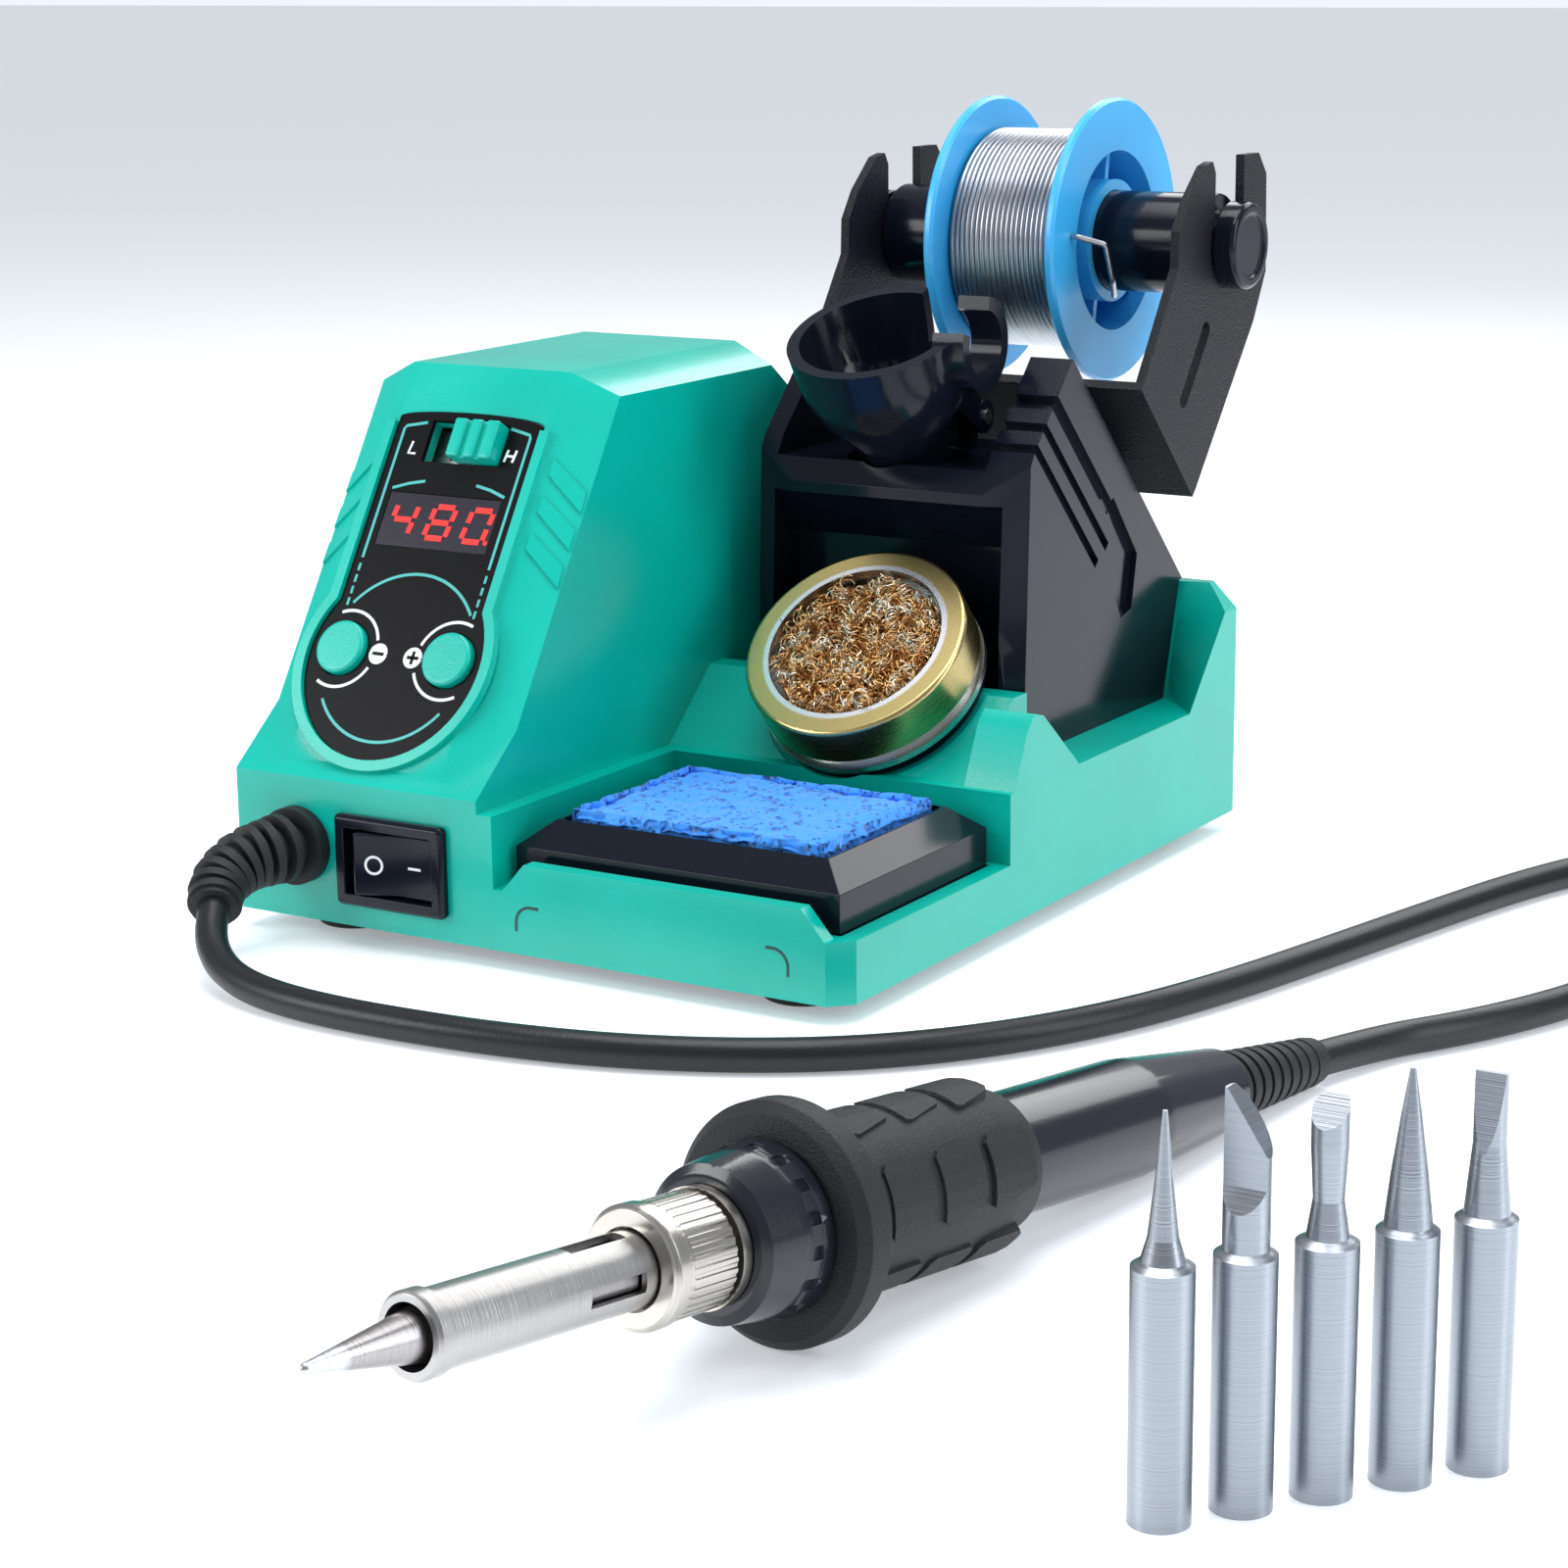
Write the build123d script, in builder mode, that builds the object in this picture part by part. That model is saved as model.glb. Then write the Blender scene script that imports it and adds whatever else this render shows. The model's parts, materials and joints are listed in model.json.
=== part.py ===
"""Soldering iron station with its iron: one part, many pieces.

Millimetres, +Z up, standing on Z = 0.  The plastic body is drawn in its own
coordinates, x from its left side, y back from its front and z up from the
table; level(), across(), facing() and panel() are the planes that place those
drawings in the part's frame.
"""
import os
from math import atan2, cos, pi, radians, sin, tan

from build123d import *

os.makedirs("parts", exist_ok=True)

# ---------------------------------------------------------------- driving sizes
BASE_LEFT = -122.6            # part-frame x of the body's left side
BASE_FRONT = 5.9             # part-frame y of the body's front
BASE_W = 112.0               # body width
BASE_D = 134.0               # body depth
BASE_Z = 3.0                 # underside of the body, on its rubber feet
DECK_Z = 24.0                # flat deck round the holder
WALL = 2.4                   # moulded wall

HOUSING_W = 47.0             # control housing, left side of the body
HOUSING_TOP = 86.5
LEDGE_Z = 26.0               # lip under the sloped control panel
PANEL_Y, PANEL_Z = 2.5, 28.0           # foot of the control panel
PANEL_TOP_Y = 39.5                     # where the panel meets the top
BEVEL_ACROSS, BEVEL_DOWN = 8.0, 3.6    # chamfer along the housing's sides

DIAL_X = 23.1                # centre of the round end of the black overlay
DIAL_S = 18.0                # and its distance up the panel
DIAL_R = 16.7
STEM_TOP = 60.5              # top of the overlay, measured up the panel
STEM_W = 28.0

TRAY_X, TRAY_Y = 51.0, 4.6   # sponge tray, front left corner
TRAY_W, TRAY_D = 57.5, 44.7
TRAY_Z0, TRAY_Z1, TRAY_TOP = 9.0, 18.6, 22.4

TIN_D, TIN_H = 37.5, 12.5    # brass wool tin, lid on
TIN_TILT = 41.0              # its axis leans forward from the vertical
TIN_X, TIN_Y, TIN_Z = 79.8, 58.0, 43.8   # centre of the lid's face

TOWER_X0, TOWER_X1 = 52.5, 102.7       # black holder tower
TOWER_Y0 = 71.5
TOWER_DECK_Z = 70.0
SLOPE_SUM = 175.6            # the tower's back slope is the line y + z = this

ARM_L, ARM_R = 43.0, 108.0   # outer faces of the spool bracket's arms
SHEET = 1.6                  # bracket steel
WEB_GAP = 7.2                # bracket web stands this far off the slope
AXLE_Y, AXLE_Z = 136.6, 101.2          # spindle axis
SPINDLE_R, NECK_R, CAP_R = 8.6, 5.7, 7.4
SPOOL_X0, SPOOL_X1 = 61.8, 86.8
SPOOL_R, CORE_R, BORE_R = 24.3, 13.0, 8.68
WOUND_R = 18.9

FUNNEL_X, FUNNEL_Y, FUNNEL_Z = 75.5, 81.0, 73.0      # foot of the funnel's cup
FUNNEL_TILT = 24.0                     # its axis leans forward from the vertical
PIVOT_Y, PIVOT_Z = 98.0, 75.0          # pin the funnel tips on
BRACKET_BOLTS = ((-17.0, 8.0), (17.0, 8.0), (-17.0, 20.0), (17.0, 20.0))
SPONGE_W, SPONGE_D = 46.0, 34.0

CORD_R = 2.5
FIT = 0.3                    # gap between pieces on different bodies


def level(z):
    """Horizontal plane at height z, drawn in body x and y."""
    return Plane(origin=(BASE_LEFT, BASE_FRONT, z), x_dir=(1, 0, 0), z_dir=(0, 0, 1))


def across(x):
    """Plane facing +X at body x, drawn in body y and z."""
    return Plane(origin=(BASE_LEFT + x, BASE_FRONT, 0), x_dir=(0, 1, 0), z_dir=(1, 0, 0))


def facing(y):
    """Plane facing the user at body y, drawn in body x and z."""
    return Plane(origin=(BASE_LEFT, BASE_FRONT + y, 0), x_dir=(1, 0, 0), z_dir=(0, -1, 0))


PANEL_ANGLE = atan2(HOUSING_TOP - PANEL_Z, PANEL_TOP_Y - PANEL_Y)
PANEL_OUT = (0, -sin(PANEL_ANGLE), cos(PANEL_ANGLE))


def panel(h):
    """Plane h above the control panel, drawn in body x and distance up it."""
    return Plane(
        origin=(BASE_LEFT, BASE_FRONT + PANEL_Y + h * PANEL_OUT[1], PANEL_Z + h * PANEL_OUT[2]),
        x_dir=(1, 0, 0), z_dir=PANEL_OUT)


TIN_AXIS = (0, -sin(radians(TIN_TILT)), cos(radians(TIN_TILT)))


def tin_plane(h):
    """Plane across the tin, h above the lid's face (negative is into the tin)."""
    return Plane(
        origin=(BASE_LEFT + TIN_X, BASE_FRONT + TIN_Y + h * TIN_AXIS[1], TIN_Z + h * TIN_AXIS[2]),
        x_dir=(1, 0, 0), z_dir=TIN_AXIS)


def finish(piece, label):
    """Name a finished piece and write it as its own STEP file."""
    piece.part.label = label
    export_step(piece.part, f"parts/{label}.step")


# ================================================================ body moulding
HOUSING_SIDE = [(0, BASE_Z), (0, LEDGE_Z), (PANEL_Y, PANEL_Z), (PANEL_TOP_Y, HOUSING_TOP),
                (88, HOUSING_TOP), (102, 76), (119, 56), (BASE_D, 48), (BASE_D, BASE_Z)]
HOUSING_HOLLOW = [(WALL, BASE_Z), (WALL, LEDGE_Z - 1), (PANEL_Y + WALL + 0.4, PANEL_Z - 0.6),
                  (PANEL_TOP_Y + 1.3, HOUSING_TOP - WALL), (87.2, HOUSING_TOP - WALL),
                  (100.2, 74.3), (117.5, 53.9), (BASE_D - WALL, 46.2), (BASE_D - WALL, BASE_Z)]
HOLLOW_X0, HOLLOW_X1 = 5.6, 41.4
RAMP_FOOT_Y, RAMP_FOOT_Z = 50.6, 21.5
RAMP_TOP_Y = 66.5
FIN_X = 103.1
RAMP_TOP_Z = RAMP_FOOT_Z + (RAMP_TOP_Y - RAMP_FOOT_Y) * tan(radians(TIN_TILT))
WING_Z = 43.6
WING_FOOT_Y, WING_TOP_Y = 125.0, 131.0     # the rear wall's sloped front
SILL_Z = 12.6                # side sill beside the sponge tray
SWITCH_X, SWITCH_Z = 30.8, 14.0
SWITCH_W, SWITCH_H = 21.0, 14.6
GLAND_X, GLAND_Z = 12.2, 15.0
BUTTON_S = DIAL_S + 1.0
BUTTON_SPREAD = 10.45
BUTTON_R = 4.45
DISPLAY = (DIAL_X - 0.2, 41.7, 21.9, 9.4)        # centre x, distance up, width, height
SLIDER = (DIAL_X + 0.4, 55.5, 15.3, 7.2)
INLET_X, INLET_Z = 23.5, 24.0
FEET = ((14, 12), (98, 12), (14, 122), (98, 122))
COVER_SCREWS = ((8, 30), (104, 58), (8, 104), (104, 106))
TOWER_SCREWS = ((60, 92), (95, 92), (60, 118), (95, 118))


def overlay_outline(grow):
    """Keyhole outline of the black overlay, grown by a margin, in the open sketch."""
    with Locations((DIAL_X, DIAL_S)):
        Circle(DIAL_R + grow)
    half = STEM_W / 2 + grow
    shoulder = STEM_TOP - 1.2 + grow
    with Locations((DIAL_X, (DIAL_S + shoulder) / 2)):
        Rectangle(2 * half, shoulder - DIAL_S)
    with Locations((DIAL_X, shoulder)):
        Ellipse(half, 1.4)


with BuildPart() as housing_shell:
    # control housing, a block with its side profile
    with BuildSketch(across(0)):
        with BuildLine():
            Polyline(*HOUSING_SIDE, close=True)
        make_face()
    extrude(amount=HOUSING_W)
    # broad bevels down both long sides of the panel, the top and the back slope
    for side in (housing_shell.faces().sort_by(Axis.X)[0], housing_shell.faces().sort_by(Axis.X)[-1]):
        long_edges = side.edges().filter_by(lambda e: e.center().Z > PANEL_Z + 20)
        chamfer(long_edges, length=BEVEL_DOWN, length2=BEVEL_ACROSS, reference=side)
    # plinth over the whole footprint
    with BuildSketch(level(BASE_Z)):
        with BuildLine():
            Polyline((0, 0), (BASE_W - 3.3, 0), (BASE_W, 3.3), (BASE_W, BASE_D), (0, BASE_D), close=True)
        make_face()
    extrude(amount=DECK_Z - BASE_Z)
    # ramp that carries the tin
    with BuildSketch(across(HOUSING_W - 1)):
        with BuildLine():
            Polyline((RAMP_FOOT_Y, BASE_Z), (RAMP_FOOT_Y, RAMP_FOOT_Z), (RAMP_TOP_Y, RAMP_TOP_Z),
                     (TOWER_Y0 - 0.4, RAMP_TOP_Z), (TOWER_Y0 - 0.4, BASE_Z), close=True)
        make_face()
    extrude(amount=58)
    # pointed fin at the ramp's right end
    with BuildSketch(across(FIN_X)):
        with BuildLine():
            Polyline((RAMP_FOOT_Y, BASE_Z), (RAMP_FOOT_Y, RAMP_FOOT_Z), (56.2, 33.0), (58.5, 35.2),
                     (61.5, 34.4), (74.0, DECK_Z), (74.0, BASE_Z), close=True)
        make_face()
    extrude(amount=BASE_W - FIN_X)
    # rear wall, sloped in front, with its right end cut off at the top
    with BuildSketch(across(HOUSING_W - 1)):
        with BuildLine():
            Polyline((WING_FOOT_Y, BASE_Z), (WING_FOOT_Y, DECK_Z), (WING_TOP_Y, WING_Z), (BASE_D, WING_Z),
                     (BASE_D, BASE_Z), close=True)
        make_face()
    extrude(amount=BASE_W - HOUSING_W + 1)
    # buttress between the right ledge and the rear wall
    with BuildSketch(level(DECK_Z)):
        with BuildLine():
            Polyline((TOWER_X1 + 0.3, WING_FOOT_Y), (BASE_W, 115.5), (BASE_W, BASE_D), (TOWER_X1 + 0.3, BASE_D),
                     close=True)
        make_face()
    with BuildSketch(level(WING_Z)):
        with BuildLine():
            Polyline((TOWER_X1 + 0.3, WING_TOP_Y), (BASE_W, BASE_D - 0.8), (BASE_W, BASE_D),
                     (TOWER_X1 + 0.3, BASE_D), close=True)
        make_face()
    loft(ruled=True)
    with BuildSketch(facing(BASE_D + 1)):
        with BuildLine():
            Polyline((BASE_W - 5.4, WING_Z + 1), (BASE_W + 1, WING_Z + 1), (BASE_W + 1, WING_Z - 5.4),
                     close=True)
        make_face()
    extrude(amount=30, mode=Mode.SUBTRACT)
    # place for the sponge tray, open above a low sill at the front and the right
    with BuildSketch(level(SILL_Z)):
        with Locations((TRAY_X - 1.2, -1)):
            Rectangle(BASE_W, RAMP_FOOT_Y + 1, align=(Align.MIN, Align.MIN))
    extrude(amount=15, mode=Mode.SUBTRACT)
    with BuildSketch(level(TRAY_Z0)):
        with Locations((TRAY_X - 0.4, TRAY_Y - 0.4)):
            Rectangle(TRAY_W + 0.8, TRAY_D + 0.8, align=(Align.MIN, Align.MIN))
    extrude(amount=12, mode=Mode.SUBTRACT)
    # raised middle of the front wall
    with BuildSketch(facing(0)):
        with BuildLine():
            Polyline((51.5, SILL_Z - 1), (51.5, SILL_Z), (55.6, 17.2), (104.6, 17.2), (108.6, SILL_Z),
                     (108.6, SILL_Z - 1), close=True)
        make_face()
    extrude(amount=-2.6)
    # round seat of the tin, sunk into the ramp and open towards the front
    with BuildSketch(tin_plane(-TIN_H - FIT)):
        Circle(TIN_D / 2 + 0.6)
    extrude(amount=40, mode=Mode.SUBTRACT)
    # raised rim round the overlay and the two rails beside it
    with BuildSketch(panel(-0.5)):
        overlay_outline(2.0)
        with Locations((DIAL_X, STEM_TOP + 8)):
            Rectangle(60, 20, mode=Mode.SUBTRACT)
    extrude(amount=1.5)
    with BuildSketch(panel(0)):
        overlay_outline(0.25)
    extrude(amount=3, mode=Mode.SUBTRACT)
    with BuildSketch(panel(-0.6)):
        overlay_outline(0.25)
    extrude(amount=3, mode=Mode.SUBTRACT)
    # hollow housing, plinth and deck
    with BuildSketch(across(HOLLOW_X0)):
        with BuildLine():
            Polyline(*HOUSING_HOLLOW, close=True)
        make_face()
    extrude(amount=HOLLOW_X1 - HOLLOW_X0, mode=Mode.SUBTRACT)
    with BuildSketch(level(BASE_Z)):
        with Locations((WALL, WALL)):
            Rectangle(BASE_W - 2 * WALL, BASE_D - 2 * WALL, align=(Align.MIN, Align.MIN))
    extrude(amount=3.8, mode=Mode.SUBTRACT)
    with BuildSketch(level(BASE_Z)):
        with Locations((HOUSING_W - 2, 54)):
            Rectangle(BASE_W - WALL - HOUSING_W + 2, BASE_D - WALL - 54, align=(Align.MIN, Align.MIN))
    extrude(amount=DECK_Z - BASE_Z - WALL, mode=Mode.SUBTRACT)
    # windows and holes of the panel
    with BuildSketch(panel(3)):
        with Locations((DIAL_X - BUTTON_SPREAD, BUTTON_S), (DIAL_X + BUTTON_SPREAD, BUTTON_S)):
            Circle(BUTTON_R + FIT)
        for centre_x, up, width, height in (DISPLAY, SLIDER):
            with Locations((centre_x, up)):
                Rectangle(width, height)
    extrude(amount=-9, mode=Mode.SUBTRACT)
    # switch cut-out, cord gland hole, inlet cut-out
    with BuildSketch(facing(-1)):
        with Locations((SWITCH_X, SWITCH_Z)):
            Rectangle(SWITCH_W - 2, SWITCH_H - 2)
        with Locations((GLAND_X, GLAND_Z)):
            Circle(4.0)
    extrude(amount=-6, mode=Mode.SUBTRACT)
    with BuildSketch(facing(BASE_D + 1)):
        with Locations((INLET_X, INLET_Z)):
            Rectangle(21, 13)
    extrude(amount=6, mode=Mode.SUBTRACT)
    # bosses for the cover's screws
    with BuildSketch(level(5.7)):
        with Locations(*COVER_SCREWS):
            Circle(3)
    extrude(amount=16.2)
    with BuildSketch(level(5.6)):
        with Locations(*COVER_SCREWS):
            Circle(1.25)
    extrude(amount=9, mode=Mode.SUBTRACT)
    # screw holes under the holder tower
    with BuildSketch(level(DECK_Z + 1)):
        with Locations(*TOWER_SCREWS[:2]):
            Circle(1.6)
    extrude(amount=-8, mode=Mode.SUBTRACT)
finish(housing_shell, "housing_shell")


# ================================================================ underside
with BuildPart() as bottom_cover:
    with BuildSketch(level(3.3)):
        with Locations((WALL + 0.3, WALL + 0.3)):
            Rectangle(BASE_W - 2 * WALL - 0.6, BASE_D - 2 * WALL - 0.6, align=(Align.MIN, Align.MIN))
        with Locations(*COVER_SCREWS):
            Circle(1.5, mode=Mode.SUBTRACT)
        with Locations(*[(70 + 5 * i, 95) for i in range(5)]):
            Rectangle(2, 22, mode=Mode.SUBTRACT)
    extrude(amount=2.2)
finish(bottom_cover, "bottom_cover")

with BuildPart() as rubber_feet:
    with BuildSketch(level(0)):
        with Locations(*FEET):
            Circle(6.5)
    extrude(amount=3.3)
    fillet(rubber_feet.edges().group_by(Axis.Z)[0], 0.7)
finish(rubber_feet, "rubber_feet")


with BuildPart() as bottom_screws:
    with BuildSketch(level(1.7)):
        with Locations(*COVER_SCREWS):
            Circle(2.7)
            Rectangle(2.8, 0.7, mode=Mode.SUBTRACT)
            Rectangle(0.7, 2.8, mode=Mode.SUBTRACT)
    extrude(amount=0.9)
    with BuildSketch(level(2.6)):
        with Locations(*COVER_SCREWS):
            Circle(2.7)
    extrude(amount=0.7)
    with BuildSketch(level(3.3)):
        with Locations(*COVER_SCREWS):
            Circle(1.2)
    extrude(amount=9)
finish(bottom_screws, "bottom_screws")

# ================================================================ control panel
with BuildPart() as front_overlay:
    with BuildSketch(panel(-0.6)):
        overlay_outline(0)
        with Locations((DIAL_X - BUTTON_SPREAD, BUTTON_S), (DIAL_X + BUTTON_SPREAD, BUTTON_S)):
            Circle(BUTTON_R + FIT, mode=Mode.SUBTRACT)
        for centre_x, up, width, height in (DISPLAY, SLIDER):
            with Locations((centre_x, up)):
                Rectangle(width, height, mode=Mode.SUBTRACT)
    extrude(amount=0.9)
finish(front_overlay, "front_overlay")

BOARD_H = -9.6               # control board, below the panel
with BuildPart() as display_module:
    with BuildSketch(panel(0.2)):
        with Locations(DISPLAY[:2]):
            Rectangle(DISPLAY[2] - 0.2, DISPLAY[3] - 0.2)
    extrude(amount=BOARD_H + 1.8 - 0.2)
finish(display_module, "display_module")

for side, label in ((-1, "minus_button"), (1, "plus_button")):
    with BuildPart() as button:
        with BuildSketch(panel(-3.0)):
            with Locations((DIAL_X + side * BUTTON_SPREAD, BUTTON_S)):
                Circle(BUTTON_R)
        extrude(amount=4.6)
        fillet(button.edges().filter_by(GeomType.CIRCLE).sort_by(Axis.Z)[-1], 0.6)
        with BuildSketch(panel(-3.0)):
            with Locations((DIAL_X + side * BUTTON_SPREAD, BUTTON_S)):
                Circle(BUTTON_R + 1)
        extrude(amount=-1.2)
    finish(button, label)

with BuildPart() as tact_switches:
    with BuildSketch(panel(BOARD_H + 1.6)):
        with Locations((DIAL_X - BUTTON_SPREAD, BUTTON_S), (DIAL_X + BUTTON_SPREAD, BUTTON_S)):
            Rectangle(6, 6)
    extrude(amount=1.5)
    with BuildSketch(panel(BOARD_H + 3.1)):
        with Locations((DIAL_X - BUTTON_SPREAD, BUTTON_S), (DIAL_X + BUTTON_SPREAD, BUTTON_S)):
            Circle(1.7)
    extrude(amount=0.8)
finish(tact_switches, "tact_switches")

KNOB_W, KNOB_TRAVEL = 8.6, 6.0
KNOB_X = SLIDER[0] + SLIDER[2] / 2 - FIT - KNOB_W / 2
with BuildPart() as slider_knob:
    with BuildSketch(panel(-2.0)):
        with Locations((KNOB_X, SLIDER[1])):
            Rectangle(KNOB_W, SLIDER[3] - 2 * FIT)
    extrude(amount=5.2)
    with BuildSketch(panel(2.3)):
        with Locations((KNOB_X - 1.5, SLIDER[1]), (KNOB_X + 1.5, SLIDER[1])):
            Rectangle(0.9, 8)
    extrude(amount=2, mode=Mode.SUBTRACT)
    with BuildSketch(panel(-2.0)):
        with Locations((KNOB_X, SLIDER[1])):
            Rectangle(2.4, 2.4)
    extrude(amount=-3)
finish(slider_knob, "slider_knob")

with BuildPart() as slide_pot:
    with BuildSketch(panel(BOARD_H + 1.6)):
        with Locations(SLIDER[:2]):
            Rectangle(19, 7)
            Rectangle(10.5, 3.1, mode=Mode.SUBTRACT)
    extrude(amount=4.4)
finish(slide_pot, "slide_pot")

BOARD_SCREWS = ((10.5, 8), (36, 8), (10.5, 31), (36, 31))
with BuildPart() as control_board:
    with BuildSketch(panel(BOARD_H)):
        with Locations((23.2, 34)):
            Rectangle(31, 58)
        with Locations(*BOARD_SCREWS):
            Circle(1.3, mode=Mode.SUBTRACT)
    extrude(amount=1.6)
    with BuildSketch(panel(BOARD_H)):
        with Locations((16, 46), (30, 40)):
            Rectangle(9, 12)
    extrude(amount=-2.2)
finish(control_board, "control_board")

with BuildPart() as board_screws:
    for screw_x, up in BOARD_SCREWS:
        with BuildSketch(panel(BOARD_H + 1.6)):
            with Locations((screw_x, up)):
                Circle(2.1)
        extrude(amount=1.3)
        with BuildSketch(panel(BOARD_H + 1.6)):
            with Locations((screw_x, up)):
                Circle(1.1)
        extrude(amount=-4.6)
finish(board_screws, "board_screws")

# ================================================================ mains side
ROCKER_TILT = 9.0
ROCKER_PIVOT_Y = 5.5
with BuildPart() as switch_bezel:
    with BuildSketch(facing(0)):
        with Locations((SWITCH_X, SWITCH_Z)):
            RectangleRounded(SWITCH_W, SWITCH_H, 1.0)
    extrude(amount=1.7)
    chamfer(switch_bezel.faces().sort_by(Axis.Y)[0].edges(), 0.6)
    with BuildSketch(facing(0)):
        with Locations((SWITCH_X, SWITCH_Z)):
            Rectangle(SWITCH_W - 2.4, SWITCH_H - 2.4)
    extrude(amount=-15)
    with BuildSketch(facing(-2)):
        with Locations((SWITCH_X, SWITCH_Z)):
            Rectangle(16.8, 10.6)
    extrude(amount=-14, mode=Mode.SUBTRACT)
finish(switch_bezel, "switch_bezel")

with BuildPart() as switch_rocker:
    with BuildSketch(Plane(origin=(BASE_LEFT + SWITCH_X, BASE_FRONT + ROCKER_PIVOT_Y, SWITCH_Z - 5),
                           x_dir=(cos(radians(ROCKER_TILT)), sin(radians(ROCKER_TILT)), 0),
                           z_dir=(0, 0, 1))):
        with BuildLine():
            Polyline((-7, -7.3), (0, -6.2), (7, -7.3), (7, -3), (3, 2), (-3, 2), (-7, -3), close=True)
        make_face()
    extrude(amount=10)
finish(switch_rocker, "switch_rocker")

INLET_SCREWS = ((INLET_X - 14, INLET_Z), (INLET_X + 14, INLET_Z))
with BuildPart() as mains_inlet:
    with BuildSketch(facing(BASE_D)):
        with Locations((INLET_X, INLET_Z)):
            RectangleRounded(35, 17, 3)
        with Locations(*INLET_SCREWS):
            Circle(1.5, mode=Mode.SUBTRACT)
    extrude(amount=-2)
    with BuildSketch(facing(BASE_D + 0.1)):
        with Locations((INLET_X, INLET_Z)):
            Rectangle(20.4, 12.4)
    extrude(amount=18)
    with BuildSketch(facing(BASE_D + 3)):
        with Locations((INLET_X, INLET_Z)):
            SlotOverall(17, 9)
    extrude(amount=16, mode=Mode.SUBTRACT)
finish(mains_inlet, "mains_inlet")

with BuildPart() as inlet_pins:
    with BuildSketch(facing(BASE_D - 1.2)):
        with Locations((INLET_X - 4.2, INLET_Z), (INLET_X + 4.2, INLET_Z)):
            Circle(1.2)
    extrude(amount=20)
finish(inlet_pins, "inlet_pins")

with BuildPart() as inlet_screws:
    with BuildSketch(facing(BASE_D + 2)):
        with Locations(*INLET_SCREWS):
            Circle(2.4)
            Rectangle(2.6, 0.6, mode=Mode.SUBTRACT)
            Rectangle(0.6, 2.6, mode=Mode.SUBTRACT)
    extrude(amount=-1.2)
    with BuildSketch(facing(BASE_D + 2)):
        with Locations(*INLET_SCREWS):
            Circle(1.3)
    extrude(amount=1.8)
finish(inlet_screws, "inlet_screws")

CORE_X0, CORE_X1, CORE_Y, CORE_Z = 14.0, 33.0, 84.0, 22.2
with BuildPart() as transformer_core:
    with BuildSketch(across(CORE_X0)):
        with Locations((CORE_Y, CORE_Z)):
            Rectangle(36, 30)
        with Locations((CORE_Y - 8.5, CORE_Z), (CORE_Y + 8.5, CORE_Z)):
            Rectangle(8, 18, mode=Mode.SUBTRACT)
    extrude(amount=CORE_X1 - CORE_X0)
finish(transformer_core, "transformer_core")

with BuildPart() as transformer_winding:
    with BuildSketch(level(CORE_Z - 8.7)):
        with Locations(((CORE_X0 + CORE_X1) / 2, CORE_Y)):
            RectangleRounded(30, 24.4, 3)
            Rectangle(CORE_X1 - CORE_X0 + 0.4, 9.4, mode=Mode.SUBTRACT)
    extrude(amount=17.4)
finish(transformer_winding, "transformer_winding")

with BuildPart() as transformer_frame:
    with BuildSketch(level(5.5)):
        with Locations(((CORE_X0 + CORE_X1) / 2, CORE_Y)):
            Rectangle(19, 52)
        with Locations(((CORE_X0 + CORE_X1) / 2, CORE_Y - 22), ((CORE_X0 + CORE_X1) / 2, CORE_Y + 22)):
            Circle(1.9, mode=Mode.SUBTRACT)
    extrude(amount=1.5)
finish(transformer_frame, "transformer_frame")

with BuildPart() as transformer_screws:
    with BuildSketch(level(7.0)):
        with Locations(((CORE_X0 + CORE_X1) / 2, CORE_Y - 22), ((CORE_X0 + CORE_X1) / 2, CORE_Y + 22)):
            RegularPolygon(3.4, 6)
    extrude(amount=2.4)
finish(transformer_screws, "transformer_screws")

# ================================================================ sponge and tin
with BuildPart() as sponge_tray:
    with BuildSketch(level(TRAY_Z0 + FIT)):
        with Locations((TRAY_X, TRAY_Y)):
            Rectangle(TRAY_W, TRAY_D, align=(Align.MIN, Align.MIN))
    extrude(amount=TRAY_TOP - TRAY_Z0 - FIT)
    rim = sponge_tray.faces().sort_by(Axis.Z)[-1]
    chamfer(rim.edges(), length=4.6, length2=TRAY_TOP - TRAY_Z1, reference=rim)
    with BuildSketch(level(TRAY_TOP)):
        with Locations((TRAY_X + TRAY_W / 2, TRAY_Y + TRAY_D / 2)):
            RectangleRounded(SPONGE_W + 1.2, SPONGE_D + 1.2, 1.5)
    extrude(amount=-10.6, mode=Mode.SUBTRACT)
finish(sponge_tray, "sponge_tray")

with BuildPart() as sponge:
    with BuildSketch(level(TRAY_TOP - 10.6 + FIT)):
        with Locations((TRAY_X + TRAY_W / 2, TRAY_Y + TRAY_D / 2)):
            RectangleRounded(SPONGE_W, SPONGE_D, 1.5)
    extrude(amount=12.0)
finish(sponge, "sponge")

with BuildPart() as tin_base:
    with BuildSketch(tin_plane(-TIN_H)):
        Circle(TIN_D / 2 - 0.5)
    extrude(amount=2.2)
    fillet(tin_base.edges().filter_by(GeomType.CIRCLE), 0.5)
finish(tin_base, "tin_base")

CAN_R = TIN_D / 2 - 1.1
LID_SKIRT = 7.2              # height of the lid's side
LID_HOLE_R = 14.7
with BuildPart() as tin_can:
    with BuildSketch(tin_plane(-TIN_H + 2.2)):
        Circle(TIN_D / 2 + 0.1)
    extrude(amount=1.2)
    with BuildSketch(tin_plane(-TIN_H + 3.4)):
        Circle(CAN_R)
    extrude(amount=TIN_H - 3.4 - 1.1)
    with BuildSketch(tin_plane(0)):
        Circle(CAN_R - 0.6)
    extrude(amount=-TIN_H + 3.2, mode=Mode.SUBTRACT)
finish(tin_can, "tin_can")

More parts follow.
